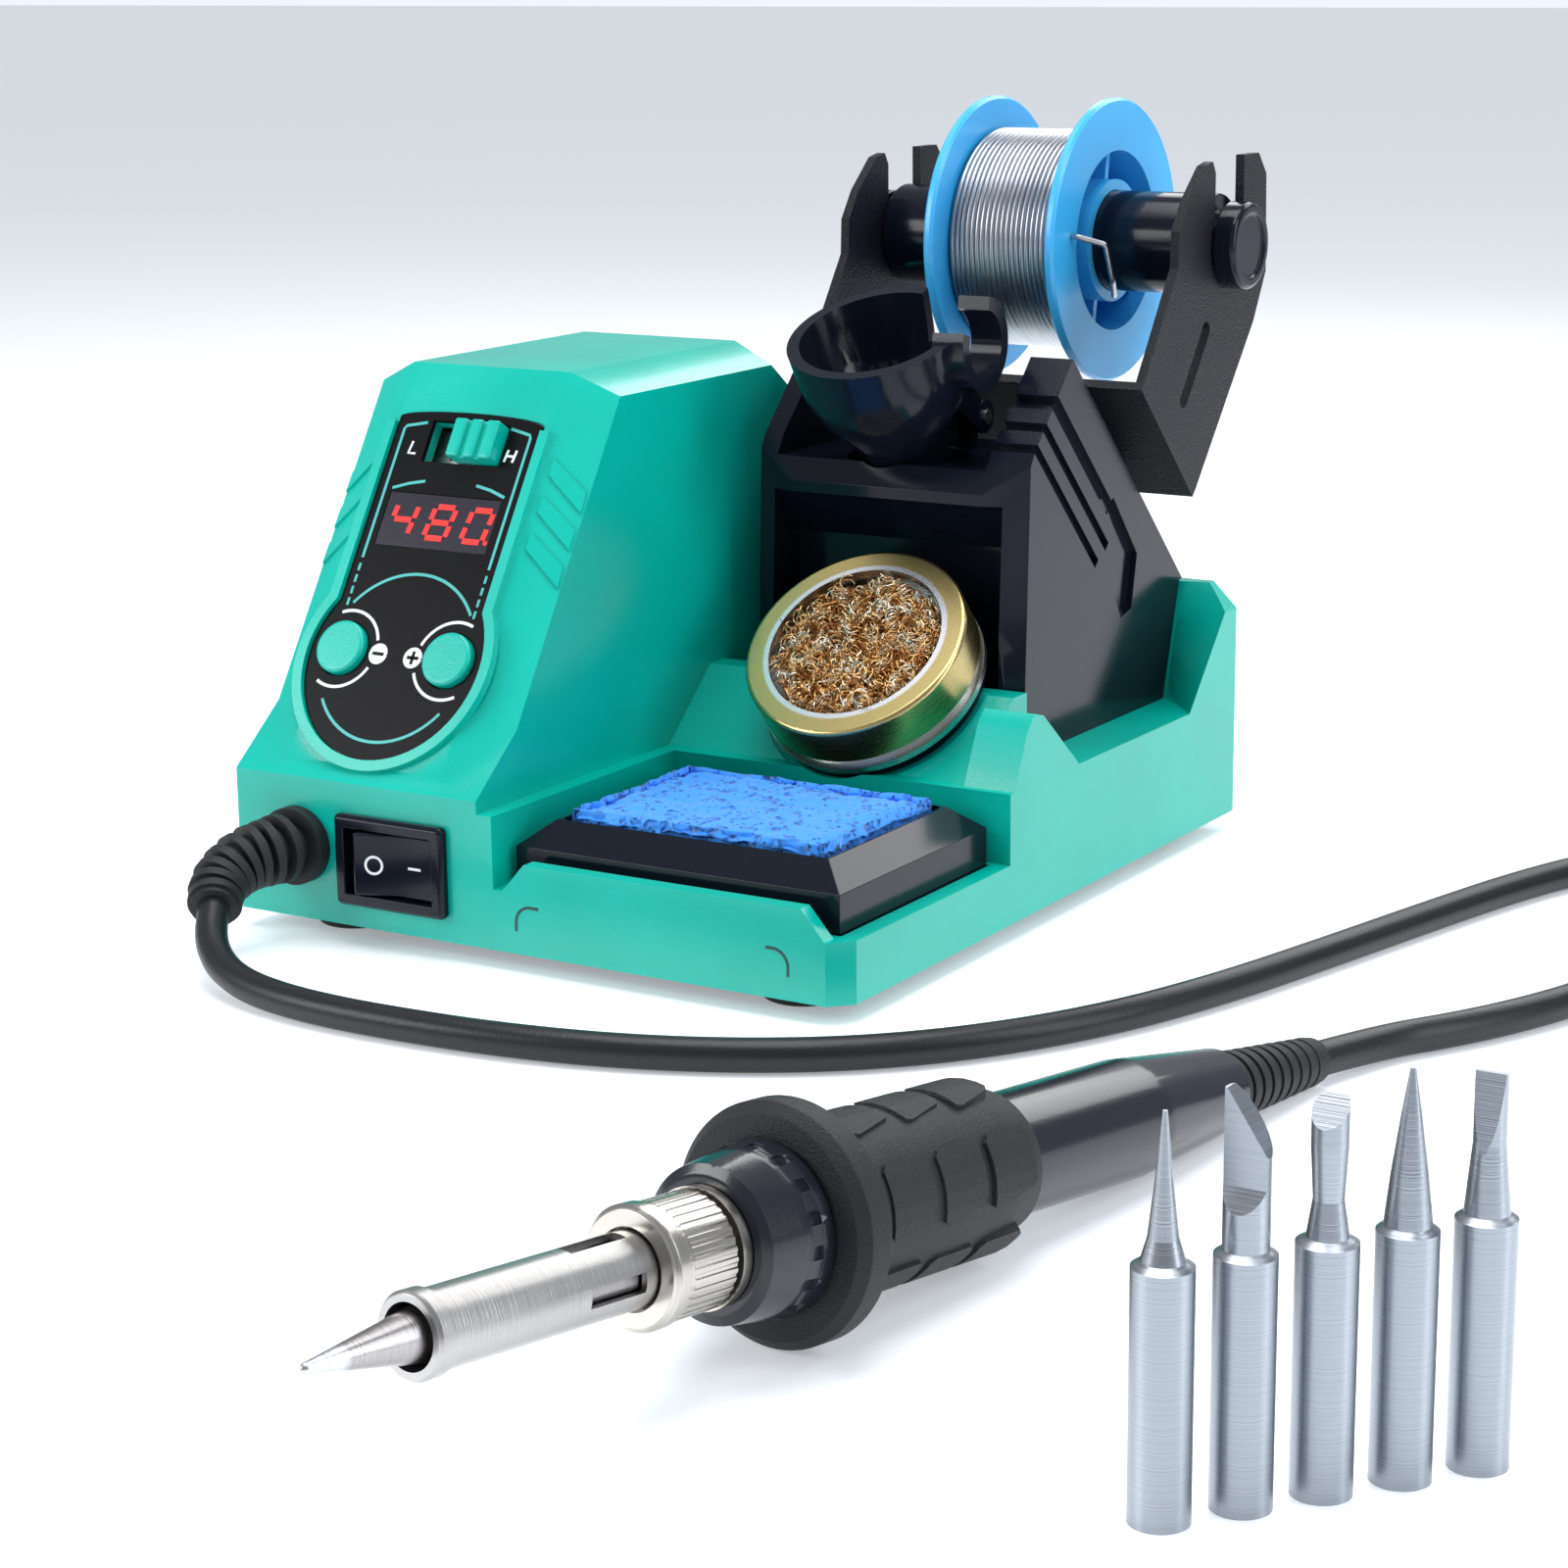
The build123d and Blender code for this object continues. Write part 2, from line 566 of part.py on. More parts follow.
with BuildPart() as tin_lid:
    with BuildSketch(tin_plane(-LID_SKIRT)):
        Circle(TIN_D / 2)
    extrude(amount=LID_SKIRT)
    fillet(tin_lid.edges().filter_by(GeomType.CIRCLE).sort_by(Axis.Z)[-1], 0.7)
    with BuildSketch(tin_plane(-0.8)):
        Circle(CAN_R + FIT)
    extrude(amount=-LID_SKIRT, mode=Mode.SUBTRACT)
    with BuildSketch(tin_plane(1)):
        Circle(LID_HOLE_R)
    extrude(amount=-4, mode=Mode.SUBTRACT)
    with BuildSketch(tin_plane(-1.8)):
        Circle(LID_HOLE_R + 0.7)
        Circle(LID_HOLE_R, mode=Mode.SUBTRACT)
    extrude(amount=1.2)
finish(tin_lid, "tin_lid")

with BuildPart() as brass_wool:
    with BuildSketch(tin_plane(-TIN_H + 3.5)):
        Circle(LID_HOLE_R - 0.5)
    extrude(amount=TIN_H - 3.5 + 0.4)
    fillet(brass_wool.edges().filter_by(GeomType.CIRCLE).sort_by(Axis.Z)[-1], 2.0)
finish(brass_wool, "brass_wool")

# ================================================================ iron holder
TOWER_SIDE = [(TOWER_Y0, DECK_Z), (TOWER_Y0, 66.4), (75.8, 73.1), (89.0, 86.6), (131.6, 44.0),
              (WING_TOP_Y - 0.6, 44.0), (WING_FOOT_Y - 0.6, DECK_Z)]
TOWER_HOLLOW = [(83.0, DECK_Z), (83.0, 57.5), (77.2, 64.6), (77.2, 67.4), (102.4, 67.4), (127.6, 42.2),
                (122.0, DECK_Z)]
RECESS_SIDE = [(60, DECK_Z - 1), (60, 64.6), (74.2, 64.6), (80.8, 56.5), (80.8, DECK_Z - 1)]
RECESS_X0, RECESS_X1 = 56.0, 98.6
DECK_X0, DECK_X1 = 56.0, 95.0
GROOVES = ((148.8, 151.2, 62.0), (154.8, 157.2, 64.0), (161.2, 165.0, 56.0))
WEB_SUM = SLOPE_SUM + WEB_GAP * 2 ** 0.5       # outer face of the bracket's web
WEB_Y, WEB_Z = 104.4, SLOPE_SUM + WEB_GAP * 2 ** 0.5 - 104.4
BRACKET_X = (ARM_L + ARM_R) / 2


def slope(h, x=0.0):
    """Plane h above the tower's back slope, drawn in body x and distance down it."""
    lift = h / 2 ** 0.5
    middle = (SLOPE_SUM - WEB_SUM) / 2
    return Plane(
        origin=(BASE_LEFT + x, BASE_FRONT + WEB_Y + middle + lift, WEB_Z + middle + lift),
        x_dir=(1, 0, 0), z_dir=(0, 1, 1))


with BuildPart() as holder_tower:
    with BuildSketch(across(TOWER_X0)):
        with BuildLine():
            Polyline(*TOWER_SIDE, close=True)
        make_face()
    extrude(amount=TOWER_X1 - TOWER_X0)
    # corners of the front, cut back more at the top than at the foot
    for corner_x, inward in ((TOWER_X0, 1), (TOWER_X1, -1)):
        with BuildSketch(level(DECK_Z)):
            with BuildLine():
                Polyline((corner_x, TOWER_Y0), (corner_x + inward * 1.5, TOWER_Y0),
                         (corner_x, TOWER_Y0 + 1.0), close=True)
            make_face()
        with BuildSketch(level(80)):
            with BuildLine():
                Polyline((corner_x, TOWER_Y0 - 0.1), (corner_x + inward * 9.5, TOWER_Y0 - 0.1),
                         (corner_x, TOWER_Y0 + 3.4), close=True)
            make_face()
        loft(ruled=True, mode=Mode.SUBTRACT)
    # deck for the funnel between the side rails, and the low back ridge
    with BuildSketch(across(DECK_X0)):
        with BuildLine():
            Polyline((60, TOWER_DECK_Z), (106, TOWER_DECK_Z), (106, 100), (60, 100), close=True)
        make_face()
    extrude(amount=DECK_X1 - DECK_X0, mode=Mode.SUBTRACT)
    # recess in the front, behind the tin
    with BuildSketch(across(RECESS_X0)):
        with BuildLine():
            Polyline(*RECESS_SIDE, close=True)
        make_face()
    extrude(amount=RECESS_X1 - RECESS_X0, mode=Mode.SUBTRACT)
    # hollow for the hot tip
    with BuildSketch(across(TOWER_X0 + 2.6)):
        with BuildLine():
            Polyline(*TOWER_HOLLOW, close=True)
        make_face()
    extrude(amount=TOWER_X1 - TOWER_X0 - 5.2, mode=Mode.SUBTRACT)
    with BuildSketch(level(TOWER_DECK_Z + 1)):
        with Locations((FUNNEL_X, FUNNEL_Y + 2.5)):
            Circle(10.2)
    extrude(amount=-5, mode=Mode.SUBTRACT)
    # notches across the right rail that run on as grooves down the right side
    for near, far, reach in GROOVES:
        middle_sum = (near + far) / 2
        width = (far - near) / 2 ** 0.5
        start_y, start_z = (middle_sum + 2.6) / 2, (middle_sum - 2.6) / 2
        with BuildSketch(Plane(origin=(BASE_LEFT + TOWER_X1 - 1.2, BASE_FRONT + start_y, start_z),
                               x_dir=(0, 1, -1), z_dir=(1, 0, 0))):
            with Locations((-3, 0)):
                Rectangle(reach / 2 + 3, width, align=(Align.MIN, Align.CENTER))
        extrude(amount=4, mode=Mode.SUBTRACT)
        with BuildSketch(Plane(origin=(BASE_LEFT + DECK_X1 - 1, BASE_FRONT + start_y, start_z),
                               x_dir=(0, 1, -1), z_dir=(1, 0, 0))):
            with Locations((-3, 0)):
                Rectangle(4.4, width, align=(Align.MIN, Align.CENTER))
        extrude(amount=12, mode=Mode.SUBTRACT)
    # foot of the outer groove turns down
    with BuildSketch(across(TOWER_X1 - 1.2)):
        with BuildLine():
            Polyline((101.5, 60.9), (107.4, 52.6), (105.5, 44.5), (107.5, 41.0), (111.5, 42.2),
                     (113.4, 51.2), (104.2, 62.0), close=True)
        make_face()
    extrude(amount=4, mode=Mode.SUBTRACT)
    # lug for the funnel's pivot pin
    with BuildSketch(across(FUNNEL_X - 3)):
        with Locations((PIVOT_Y, PIVOT_Z)):
            Circle(3.2)
        with BuildLine():
            Polyline((PIVOT_Y - 3.2, PIVOT_Z), (PIVOT_Y + 3.2, PIVOT_Z), (PIVOT_Y + 4, 69), (PIVOT_Y - 4, 69),
                     close=True)
        make_face()
        with Locations((PIVOT_Y, PIVOT_Z)):
            Circle(1.25, mode=Mode.SUBTRACT)
    extrude(amount=6)
    # two rails on the back slope that carry the spool bracket
    with BuildSketch(slope(-1, BRACKET_X)):
        with Locations((-17, 14), (17, 14)):
            Rectangle(6, 22)
    extrude(amount=1 + WEB_GAP - SHEET)
    with BuildSketch(slope(WEB_GAP, BRACKET_X)):
        with Locations(*BRACKET_BOLTS):
            Circle(1.25)
    extrude(amount=-WEB_GAP - 2, mode=Mode.SUBTRACT)
finish(holder_tower, "holder_tower")

with BuildPart() as tower_screws:
    with BuildSketch(level(DECK_Z - WALL - 1.4)):
        with Locations(*TOWER_SCREWS):
            Circle(2.6)
    extrude(amount=1.4)
finish(tower_screws, "tower_screws")

# funnel: tapered cup with a slotted mouth and an open ring clipped on its right
FUNNEL_AXIS = (0, -sin(radians(FUNNEL_TILT)), cos(radians(FUNNEL_TILT)))
FUNNEL_SIDE = Plane(origin=(BASE_LEFT + FUNNEL_X, BASE_FRONT + FUNNEL_Y, FUNNEL_Z),
                    x_dir=(1, 0, 0), z_dir=(0, -cos(radians(FUNNEL_TILT)), -sin(radians(FUNNEL_TILT))))
CLIP_X, CLIP_Y, CLIP_Z, CLIP_R = 89.6, 78.5, 89.5, 7.6
with BuildPart() as iron_funnel:
    with BuildSketch(FUNNEL_SIDE):
        with BuildLine():
            Spline((6.9, -4.0), (7.7, 0.3), (10.6, 5.0), (13.1, 9.5), (14.3, 15.0), (14.8, 20.0))
            Polyline((14.8, 20.0), (12.8, 20.0), (12.3, 15.0), (11.1, 9.7), (8.7, 5.3), (5.9, 0.7),
                     (5.1, -4.0), (6.9, -4.0))
        make_face()
    revolve(axis=Axis((BASE_LEFT + FUNNEL_X, BASE_FRONT + FUNNEL_Y, FUNNEL_Z), FUNNEL_AXIS))
    # ears that reach back to the pivot pin, and the barrel outside the lug
    for ear_x in (FUNNEL_X - 6.5, FUNNEL_X + 3.5):
        with BuildSketch(across(ear_x)):
            with BuildLine():
                Polyline((PIVOT_Y - 3, PIVOT_Z + 1), (PIVOT_Y - 1.5, PIVOT_Z + 2.7), (90.5, 84.5),
                         (86.5, 81.5), (88.0, 77.5), (PIVOT_Y - 2, PIVOT_Z - 2.2), close=True)
            make_face()
            with Locations((PIVOT_Y, PIVOT_Z)):
                Circle(2.8)
        extrude(amount=3)
    with BuildSketch(across(FUNNEL_X - 8)):
        with Locations((PIVOT_Y, PIVOT_Z)):
            Circle(1.3)
    extrude(amount=16, mode=Mode.SUBTRACT)
    # mouth cut low on the right, where the ring carries on from the rim
    with BuildSketch(across(FUNNEL_X + 2)):
        with BuildLine():
            Polyline((60, 91), (76, 91), (79, 84.5), (88, 84.5), (91, 100), (60, 100), close=True)
        make_face()
    extrude(amount=20, mode=Mode.SUBTRACT)
    with BuildSketch(across(CLIP_X - 2.8)):
        with Locations((CLIP_Y, CLIP_Z)):
            Circle(CLIP_R)
    extrude(amount=5.6)
    with BuildSketch(across(CLIP_X - 4)):
        with Locations((CLIP_Y, CLIP_Z)):
            Circle(CLIP_R - 2.2)
        with BuildLine():
            Polyline((CLIP_Y, CLIP_Z), (CLIP_Y - 9, CLIP_Z + 3), (CLIP_Y - 5, CLIP_Z + 11),
                     (CLIP_Y + 1.5, CLIP_Z + 9), close=True)
        make_face()
    extrude(amount=8, mode=Mode.SUBTRACT)
finish(iron_funnel, "iron_funnel")

with BuildPart() as funnel_pin:
    with BuildSketch(across(FUNNEL_X - 7)):
        with Locations((PIVOT_Y, PIVOT_Z)):
            Circle(1.22)
    extrude(amount=14)
finish(funnel_pin, "funnel_pin")

# ================================================================ spool bracket
ARM_OUTLINE = [(104.4, WEB_SUM - 104.4), (116.7, 98.9), (117.0, 104.9), (120.4, 109.7), (126.6, 115.0),
               (129.6, 115.6), (130.85, 113.6), (130.85, AXLE_Z), (142.35, AXLE_Z), (142.35, 116.0),
               (148.4, 116.0), (151.7, 112.3), (152.3, 95.5), (147.5, 87.3), (124.9, WEB_SUM - 124.9)]
HOLE_Y, HOLE_Z, HOLE_TILT = 123.8, 82.2, 52.0
with BuildPart() as spool_bracket:
    for arm_x in (ARM_L, ARM_R - SHEET):
        with BuildSketch(across(arm_x)):
            with BuildLine():
                Polyline(*ARM_OUTLINE, close=True)
            make_face()
            with Locations((AXLE_Y, AXLE_Z)):
                Circle(NECK_R + 0.05, mode=Mode.SUBTRACT)
            with Locations(Location((HOLE_Y, HOLE_Z), HOLE_TILT)):
                SlotOverall(16.5, 3.0, mode=Mode.SUBTRACT)
        extrude(amount=SHEET)
    with BuildSketch(slope(WEB_GAP - SHEET, ARM_L)):
        Rectangle(ARM_R - ARM_L, 29.0, align=(Align.MIN, Align.MIN))
        with Locations(*[(BRACKET_X - ARM_L + x, up) for x, up in BRACKET_BOLTS]):
            Circle(1.7, mode=Mode.SUBTRACT)
    extrude(amount=SHEET)
finish(spool_bracket, "spool_bracket")

with BuildPart() as bracket_screws:
    with BuildSketch(slope(WEB_GAP, BRACKET_X)):
        with Locations(*BRACKET_BOLTS):
            Circle(2.9)
    extrude(amount=0.9)
    with BuildSketch(slope(WEB_GAP + 0.9, BRACKET_X)):
        with Locations(*BRACKET_BOLTS):
            Circle(2.6)
            Rectangle(2.8, 0.7, mode=Mode.SUBTRACT)
            Rectangle(0.7, 2.8, mode=Mode.SUBTRACT)
    extrude(amount=0.8)
    with BuildSketch(slope(WEB_GAP, BRACKET_X)):
        with Locations(*BRACKET_BOLTS):
            Circle(1.2)
    extrude(amount=-7)
finish(bracket_screws, "bracket_screws")

AXLE = Plane(origin=(BASE_LEFT, BASE_FRONT + AXLE_Y, AXLE_Z), x_dir=(1, 0, 0), z_dir=(0, -1, 0))
AXLE_LINE = Axis((BASE_LEFT, BASE_FRONT + AXLE_Y, AXLE_Z), (1, 0, 0))
with BuildPart() as spindle:
    with BuildSketch(AXLE):
        with BuildLine():
            Polyline((ARM_L - 4.3, 0), (ARM_L - 4.3, CAP_R - 0.6), (ARM_L - 3.7, CAP_R), (ARM_L - FIT, CAP_R),
                     (ARM_L - FIT, NECK_R), (ARM_L + SHEET + FIT, NECK_R), (ARM_L + SHEET + FIT, SPINDLE_R),
                     (ARM_R - SHEET - FIT, SPINDLE_R), (ARM_R - SHEET - FIT, NECK_R), (ARM_R + FIT, NECK_R),
                     (ARM_R + FIT, CAP_R), (ARM_R + 3.7, CAP_R), (ARM_R + 4.3, CAP_R - 0.6),
                     (ARM_R + 4.3, 5.5), (ARM_R + 3.8, 5.2), (ARM_R + 3.8, 0), close=True)
        make_face()
    revolve(axis=AXLE_LINE)
finish(spindle, "spindle")

WEB_COUNT = 6
with BuildPart() as spool:
    with BuildSketch(AXLE):
        with BuildLine():
            Polyline((SPOOL_X0, CORE_R + 2.4), (SPOOL_X0, SPOOL_R - 0.5), (SPOOL_X0 + 0.5, SPOOL_R),
                     (SPOOL_X0 + 1.3, SPOOL_R), (SPOOL_X0 + 1.8, SPOOL_R - 0.5), (SPOOL_X0 + 1.8, CORE_R + 3.6),
                     (SPOOL_X1 - 1.8, CORE_R + 3.6), (SPOOL_X1 - 1.8, SPOOL_R - 0.5),
                     (SPOOL_X1 - 1.3, SPOOL_R), (SPOOL_X1 - 0.5, SPOOL_R), (SPOOL_X1, SPOOL_R - 0.5),
                     (SPOOL_X1, CORE_R + 2.4), close=True)
        make_face()
        with BuildLine():
            Polyline((SPOOL_X0 + 0.4, BORE_R), (SPOOL_X0 + 0.4, BORE_R + 1.8), (SPOOL_X1 - 0.4, BORE_R + 1.8),
                     (SPOOL_X1 - 0.4, BORE_R), close=True)
        make_face()
    revolve(axis=AXLE_LINE)
    with BuildSketch(Plane(
            origin=(BASE_LEFT + SPOOL_X0 + 3, BASE_FRONT + AXLE_Y, AXLE_Z), x_dir=(0, 1, 0), z_dir=(1, 0, 0))):
        with PolarLocations((BORE_R + CORE_R + 4) / 2, WEB_COUNT, start_angle=20):
            Rectangle(CORE_R + 3.2 - BORE_R - 0.8, 1.2)
    extrude(amount=SPOOL_X1 - SPOOL_X0 - 6)
finish(spool, "spool")

with BuildPart() as solder_winding:
    with BuildSketch(AXLE):
        with BuildLine():
            Polyline((SPOOL_X0 + 2.0, CORE_R + 3.6), (SPOOL_X0 + 2.0, WOUND_R), (SPOOL_X1 - 2.0, WOUND_R),
                     (SPOOL_X1 - 2.0, CORE_R + 3.6), close=True)
        make_face()
    revolve(axis=AXLE_LINE)
finish(solder_winding, "solder_winding")

# the wire's loose end comes out through the right flange and is bent over
TAIL_POINTS = [(SPOOL_X1 + 0.1, -17.4, 2.0), (SPOOL_X1 + 1.4, -17.6, 2.0), (SPOOL_X1 + 5.2, -14.8, 0.6),
               (SPOOL_X1 + 5.8, -13.2, -5.4), (SPOOL_X1 + 4.6, -10.0, -8.6), (SPOOL_X1 + 3.2, -7.6, -7.2)]
tail_path = [(BASE_LEFT + x, BASE_FRONT + AXLE_Y + y, AXLE_Z + z) for x, y, z in TAIL_POINTS]
with BuildPart() as solder_tail:
    with BuildLine() as tail_line:
        FilletPolyline(*tail_path, radius=[0.8, 1.2, 1.6, 1.0])
    with BuildSketch(Plane(origin=tail_path[0], z_dir=tail_line.line @ 0.05 - tail_line.line @ 0)):
        Circle(0.5)
    sweep()
finish(solder_tail, "solder_tail")

# ================================================================ the iron
# It lies on the table on its grip's flange and on the end of its handle.
FLANGE_R, END_R = 14.1, 5.6
FLANGE_AT, END_AT, BOOT_AT = 72.6, 161.5, 186.0     # distances back from the tip's point
HEADING = radians(82.0)
DROOP = atan2(FLANGE_R - END_R, END_AT - FLANGE_AT)
IRON_DIR = (cos(HEADING) * cos(DROOP), sin(HEADING) * cos(DROOP), -sin(DROOP))
IRON_TIP = (BASE_LEFT + 153.6, BASE_FRONT - 172.6, FLANGE_R + 0.1 + FLANGE_AT * sin(DROOP))
IRON_ACROSS = (sin(HEADING), -cos(HEADING), 0)
IRON_SIDE = Plane(origin=IRON_TIP, x_dir=IRON_DIR, z_dir=IRON_ACROSS)
IRON_LINE = Axis(IRON_TIP, IRON_DIR)


def along(distance):
    """Plane across the iron at a distance back from its point, facing its cord end."""
    return Plane(origin=IRON_TIP, x_dir=IRON_ACROSS, z_dir=IRON_DIR).offset(distance)


BARREL_R, TIP_BORE_R = 3.25, 2.2
with BuildPart() as soldering_tip:
    with BuildSketch(IRON_SIDE):
        with BuildLine():
            ThreePointArc((0, 0), (0.17, 0.38), (0.6, 0.62))
            Polyline((0.6, 0.62), (13.0, 2.55), (14.6, 2.75), (17.5, BARREL_R), (46.6, BARREL_R),
                     (46.6, TIP_BORE_R), (21.0, TIP_BORE_R), (21.0, 0), (0, 0))
        make_face()
    revolve(axis=IRON_LINE)
finish(soldering_tip, "soldering_tip")

SHROUD_R, SHROUD_BORE_R = 4.3, 3.55
with BuildPart() as tip_shroud:
    with BuildSketch(IRON_SIDE):
        with BuildLine():
            Polyline((14.3, SHROUD_BORE_R), (14.3, SHROUD_R), (14.7, SHROUD_R + 0.4), (16.4, SHROUD_R + 0.4),
                     (16.8, SHROUD_R), (49.0, SHROUD_R), (49.0, 5.3), (50.4, 5.3), (50.4, SHROUD_BORE_R),
                     close=True)
        make_face()
    revolve(axis=IRON_LINE)
    # vent slots in the last stretch before the nut
    with BuildSketch(along(36.5)):
        Rectangle(2.2, 12)
        Rectangle(12, 2.2)
    extrude(amount=8.5, mode=Mode.SUBTRACT)
finish(tip_shroud, "tip_shroud")

with BuildPart() as knurled_nut:
    with BuildSketch(IRON_SIDE):
        with BuildLine():
            Polyline((46.8, SHROUD_R + 0.3), (46.8, 6.4), (47.4, 7.0), (49.0, 7.0), (49.0, 6.7), (57.0, 6.7),
                     (57.0, 5.6), (48.7, 5.6), (48.7, SHROUD_R + 0.3), close=True)
        make_face()
    revolve(axis=IRON_LINE)
    with BuildSketch(along(50.0)):
        with PolarLocations(6.85, 36):
            Rectangle(0.6, 0.5)
    extrude(amount=8, mode=Mode.SUBTRACT)
finish(knurled_nut, "knurled_nut")

with BuildPart() as threaded_collar:
    with BuildSketch(IRON_SIDE):
        with BuildLine():
            Polyline((50.8, 2.6), (50.8, 5.2), (57.6, 5.2), (57.6, 6.9), (59.0, 6.9), (59.0, 4.9), (66.0, 4.9),
                     (66.0, 2.6), close=True)
        make_face()
    revolve(axis=IRON_LINE)
finish(threaded_collar, "threaded_collar")

with BuildPart() as heater_element:
    with BuildSketch(IRON_SIDE):
        with BuildLine():
            Polyline((22.0, 0), (22.0, 1.9), (72.0, 1.9), (72.0, 0), close=True)
        make_face()
    revolve(axis=IRON_LINE)
finish(heater_element, "heater_element")

with BuildPart() as heater_socket:
    with BuildSketch(IRON_SIDE):
        with BuildLine():
            Polyline((72.0, 0), (72.0, 4.6), (82.0, 4.6), (82.0, 0), close=True)
        make_face()
    revolve(axis=IRON_LINE)
finish(heater_socket, "heater_socket")

with BuildPart() as iron_handle:
    with BuildSketch(IRON_SIDE):
        with BuildLine():
            Polyline((59.2, 4.95), (59.2, 7.4), (60.0, 9.0), (69.0, 10.2), (69.0, 8.2), (74.0, 8.2),
                     (74.0, 7.6), (139.5, 7.7), (150.0, 6.7), (END_AT, END_R), (END_AT, 3.9), (149.0, 5.4),
                     (68.0, 5.6), (66.2, 4.95), close=True)
        make_face()
    revolve(axis=IRON_LINE)
    # ribs round the front collar
    with BuildSketch(along(60.5)):
        with PolarLocations(10.3, 16):
            Rectangle(1.2, 1.6)
    extrude(amount=7, mode=Mode.SUBTRACT)
finish(iron_handle, "iron_handle")

GRIP_END = 111.0
with BuildPart() as grip_sleeve:
    with BuildSketch(IRON_SIDE):
        with BuildLine():
            Polyline((69.6, 8.3), (69.6, 12.9), (70.8, FLANGE_R), (74.2, FLANGE_R), (75.6, 12.6), (76.8, 11.0),
                     (80.0, 10.2), (93.0, 10.4), (104.0, 9.9), (GRIP_END - 1, 8.9), (GRIP_END, 8.2),
                     (GRIP_END, 7.85), (74.4, 7.85), (74.4, 8.3), close=True)
        make_face()
    revolve(axis=IRON_LINE)
finish(grip_sleeve, "grip_sleeve")

with BuildPart() as iron_board:
    with BuildSketch(along(84)):
        Rectangle(9.0, 1.2)
    extrude(amount=38)
finish(iron_board, "iron_board")

with BuildPart() as iron_boot:
    with BuildSketch(IRON_SIDE):
        with BuildLine():
            Polyline((END_AT - 6, 0), (END_AT - 6, 3.6), (END_AT, 3.6), (END_AT, 4.4), (BOOT_AT, 3.2),
                     (BOOT_AT, 0), close=True)
        make_face()
        for rib in range(9):
            with Locations((END_AT + 1.2 + 2.6 * rib, 2.4 - 0.02 * rib)):
                Rectangle(1.5, 4.9 - 0.3 * rib)
    revolve(axis=IRON_LINE)
finish(iron_boot, "iron_boot")

# ================================================================ spare tips
SPARE_R, SPARE_LENGTH = 3.25, 27.0           # sleeve of each tip
SPARE_X, SPARE_Y = 219.5, -121.0             # body coordinates of the first
SPARE_STEP = (5.65, 7.05)
SPARE_PROFILES = {
    "needle_tip": [(2.3, 27.6), (1.6, 30.0), (0.9, 36.0), (0.25, 43.0), (0, 43.0)],
    "knife_tip": [(2.4, 27.6), (2.4, 44.0), (0, 44.0)],
    "bevel_tip": [(2.2, 27.6), (1.6, 31.5), (1.9, 37.0), (1.9, 42.0), (0, 42.0)],
    "cone_tip": [(2.5, 27.6), (1.9, 33.0), (1.0, 39.5), (0.3, 44.0), (0, 44.0)],
    "chisel_tip": [(2.4, 27.6), (1.7, 35.0), (1.7, 42.5), (0, 42.5)],
}
for place, (label, profile) in enumerate(SPARE_PROFILES.items()):
    centre_x = BASE_LEFT + SPARE_X + SPARE_STEP[0] * place
    centre_y = BASE_FRONT + SPARE_Y + SPARE_STEP[1] * place
    stand = Plane(origin=(centre_x, centre_y, 0), x_dir=(1, 0, 0), z_dir=(0, -1, 0))
    with BuildPart() as spare_tip:
        with BuildSketch(stand):
            with BuildLine():
                Polyline((TIP_BORE_R, 0), (SPARE_R, 0), (SPARE_R, SPARE_LENGTH), *profile, (0, 24.0),
                         (TIP_BORE_R, 24.0), close=True)
            make_face()
        revolve(axis=Axis((centre_x, centre_y, 0), (0, 0, 1)))
        if label == "knife_tip":
            with BuildSketch(stand.offset(4)):
                with BuildLine():
                    Polyline((-4, 45), (-2.4, 44.5), (4, 35.0), (4, 45), close=True)
                make_face()
            extrude(amount=-8, mode=Mode.SUBTRACT)
            with BuildSketch(Plane(origin=(centre_x, centre_y, 0), x_dir=(0, 1, 0), z_dir=(1, 0, 0)).offset(4)):
                with BuildLine():
                    Polyline((-3, 45), (-3, 31.0), (-0.6, 34.0), (-0.6, 45), close=True)
                    Polyline((3, 45), (3, 31.0), (0.6, 34.0), (0.6, 45), close=True)
                make_face()
            extrude(amount=-8, mode=Mode.SUBTRACT)
        if label == "bevel_tip":
            with BuildSketch(Plane(origin=(centre_x, centre_y, 0), x_dir=(0, 1, 0), z_dir=(1, 0, 0)).offset(4)):
                with BuildLine():
                    Polyline((-3, 43), (-3, 38.2), (2.2, 43), close=True)
                make_face()
            extrude(amount=-8, mode=Mode.SUBTRACT)
        if label == "chisel_tip":
            for side in (-1, 1):
                with BuildSketch(Plane(origin=(centre_x, centre_y, 0), x_dir=(0, 1, 0),
                                       z_dir=(1, 0, 0)).offset(4)):
                    with BuildLine():
                        Polyline((side * 3, 43), (side * 3, 34.0), (side * 1.8, 34.0), (side * 0.3, 43),
                                 close=True)
                    make_face()
                extrude(amount=-8, mode=Mode.SUBTRACT)
    finish(spare_tip, label)

# ================================================================ cord
# strain relief of the station: a stub through the wall and a bent, ribbed sleeve
BOOT_ROUTE = [(12.2, 1.0, 15.0), (11.8, -4.0, 15.2), (9.4, -10.4, 14.4), (8.8, -15.6, 12.0),
              (11.8, -20.4, 9.4)]
boot_path = [(BASE_LEFT + x, BASE_FRONT + y, z) for x, y, z in BOOT_ROUTE]


def corner_radii(points):
    """Radius of each corner: 0.45 of its shorter run over the tangent of half its turn."""
    radii = []
    for before, at, after in zip(points, points[1:], points[2:]):
        run_in = Vector(*at) - Vector(*before)
        run_out = Vector(*after) - Vector(*at)
        half_turn = radians(run_in.get_angle(run_out)) / 2
        radii.append(0.45 * min(run_in.length, run_out.length) / tan(half_turn))
    return radii


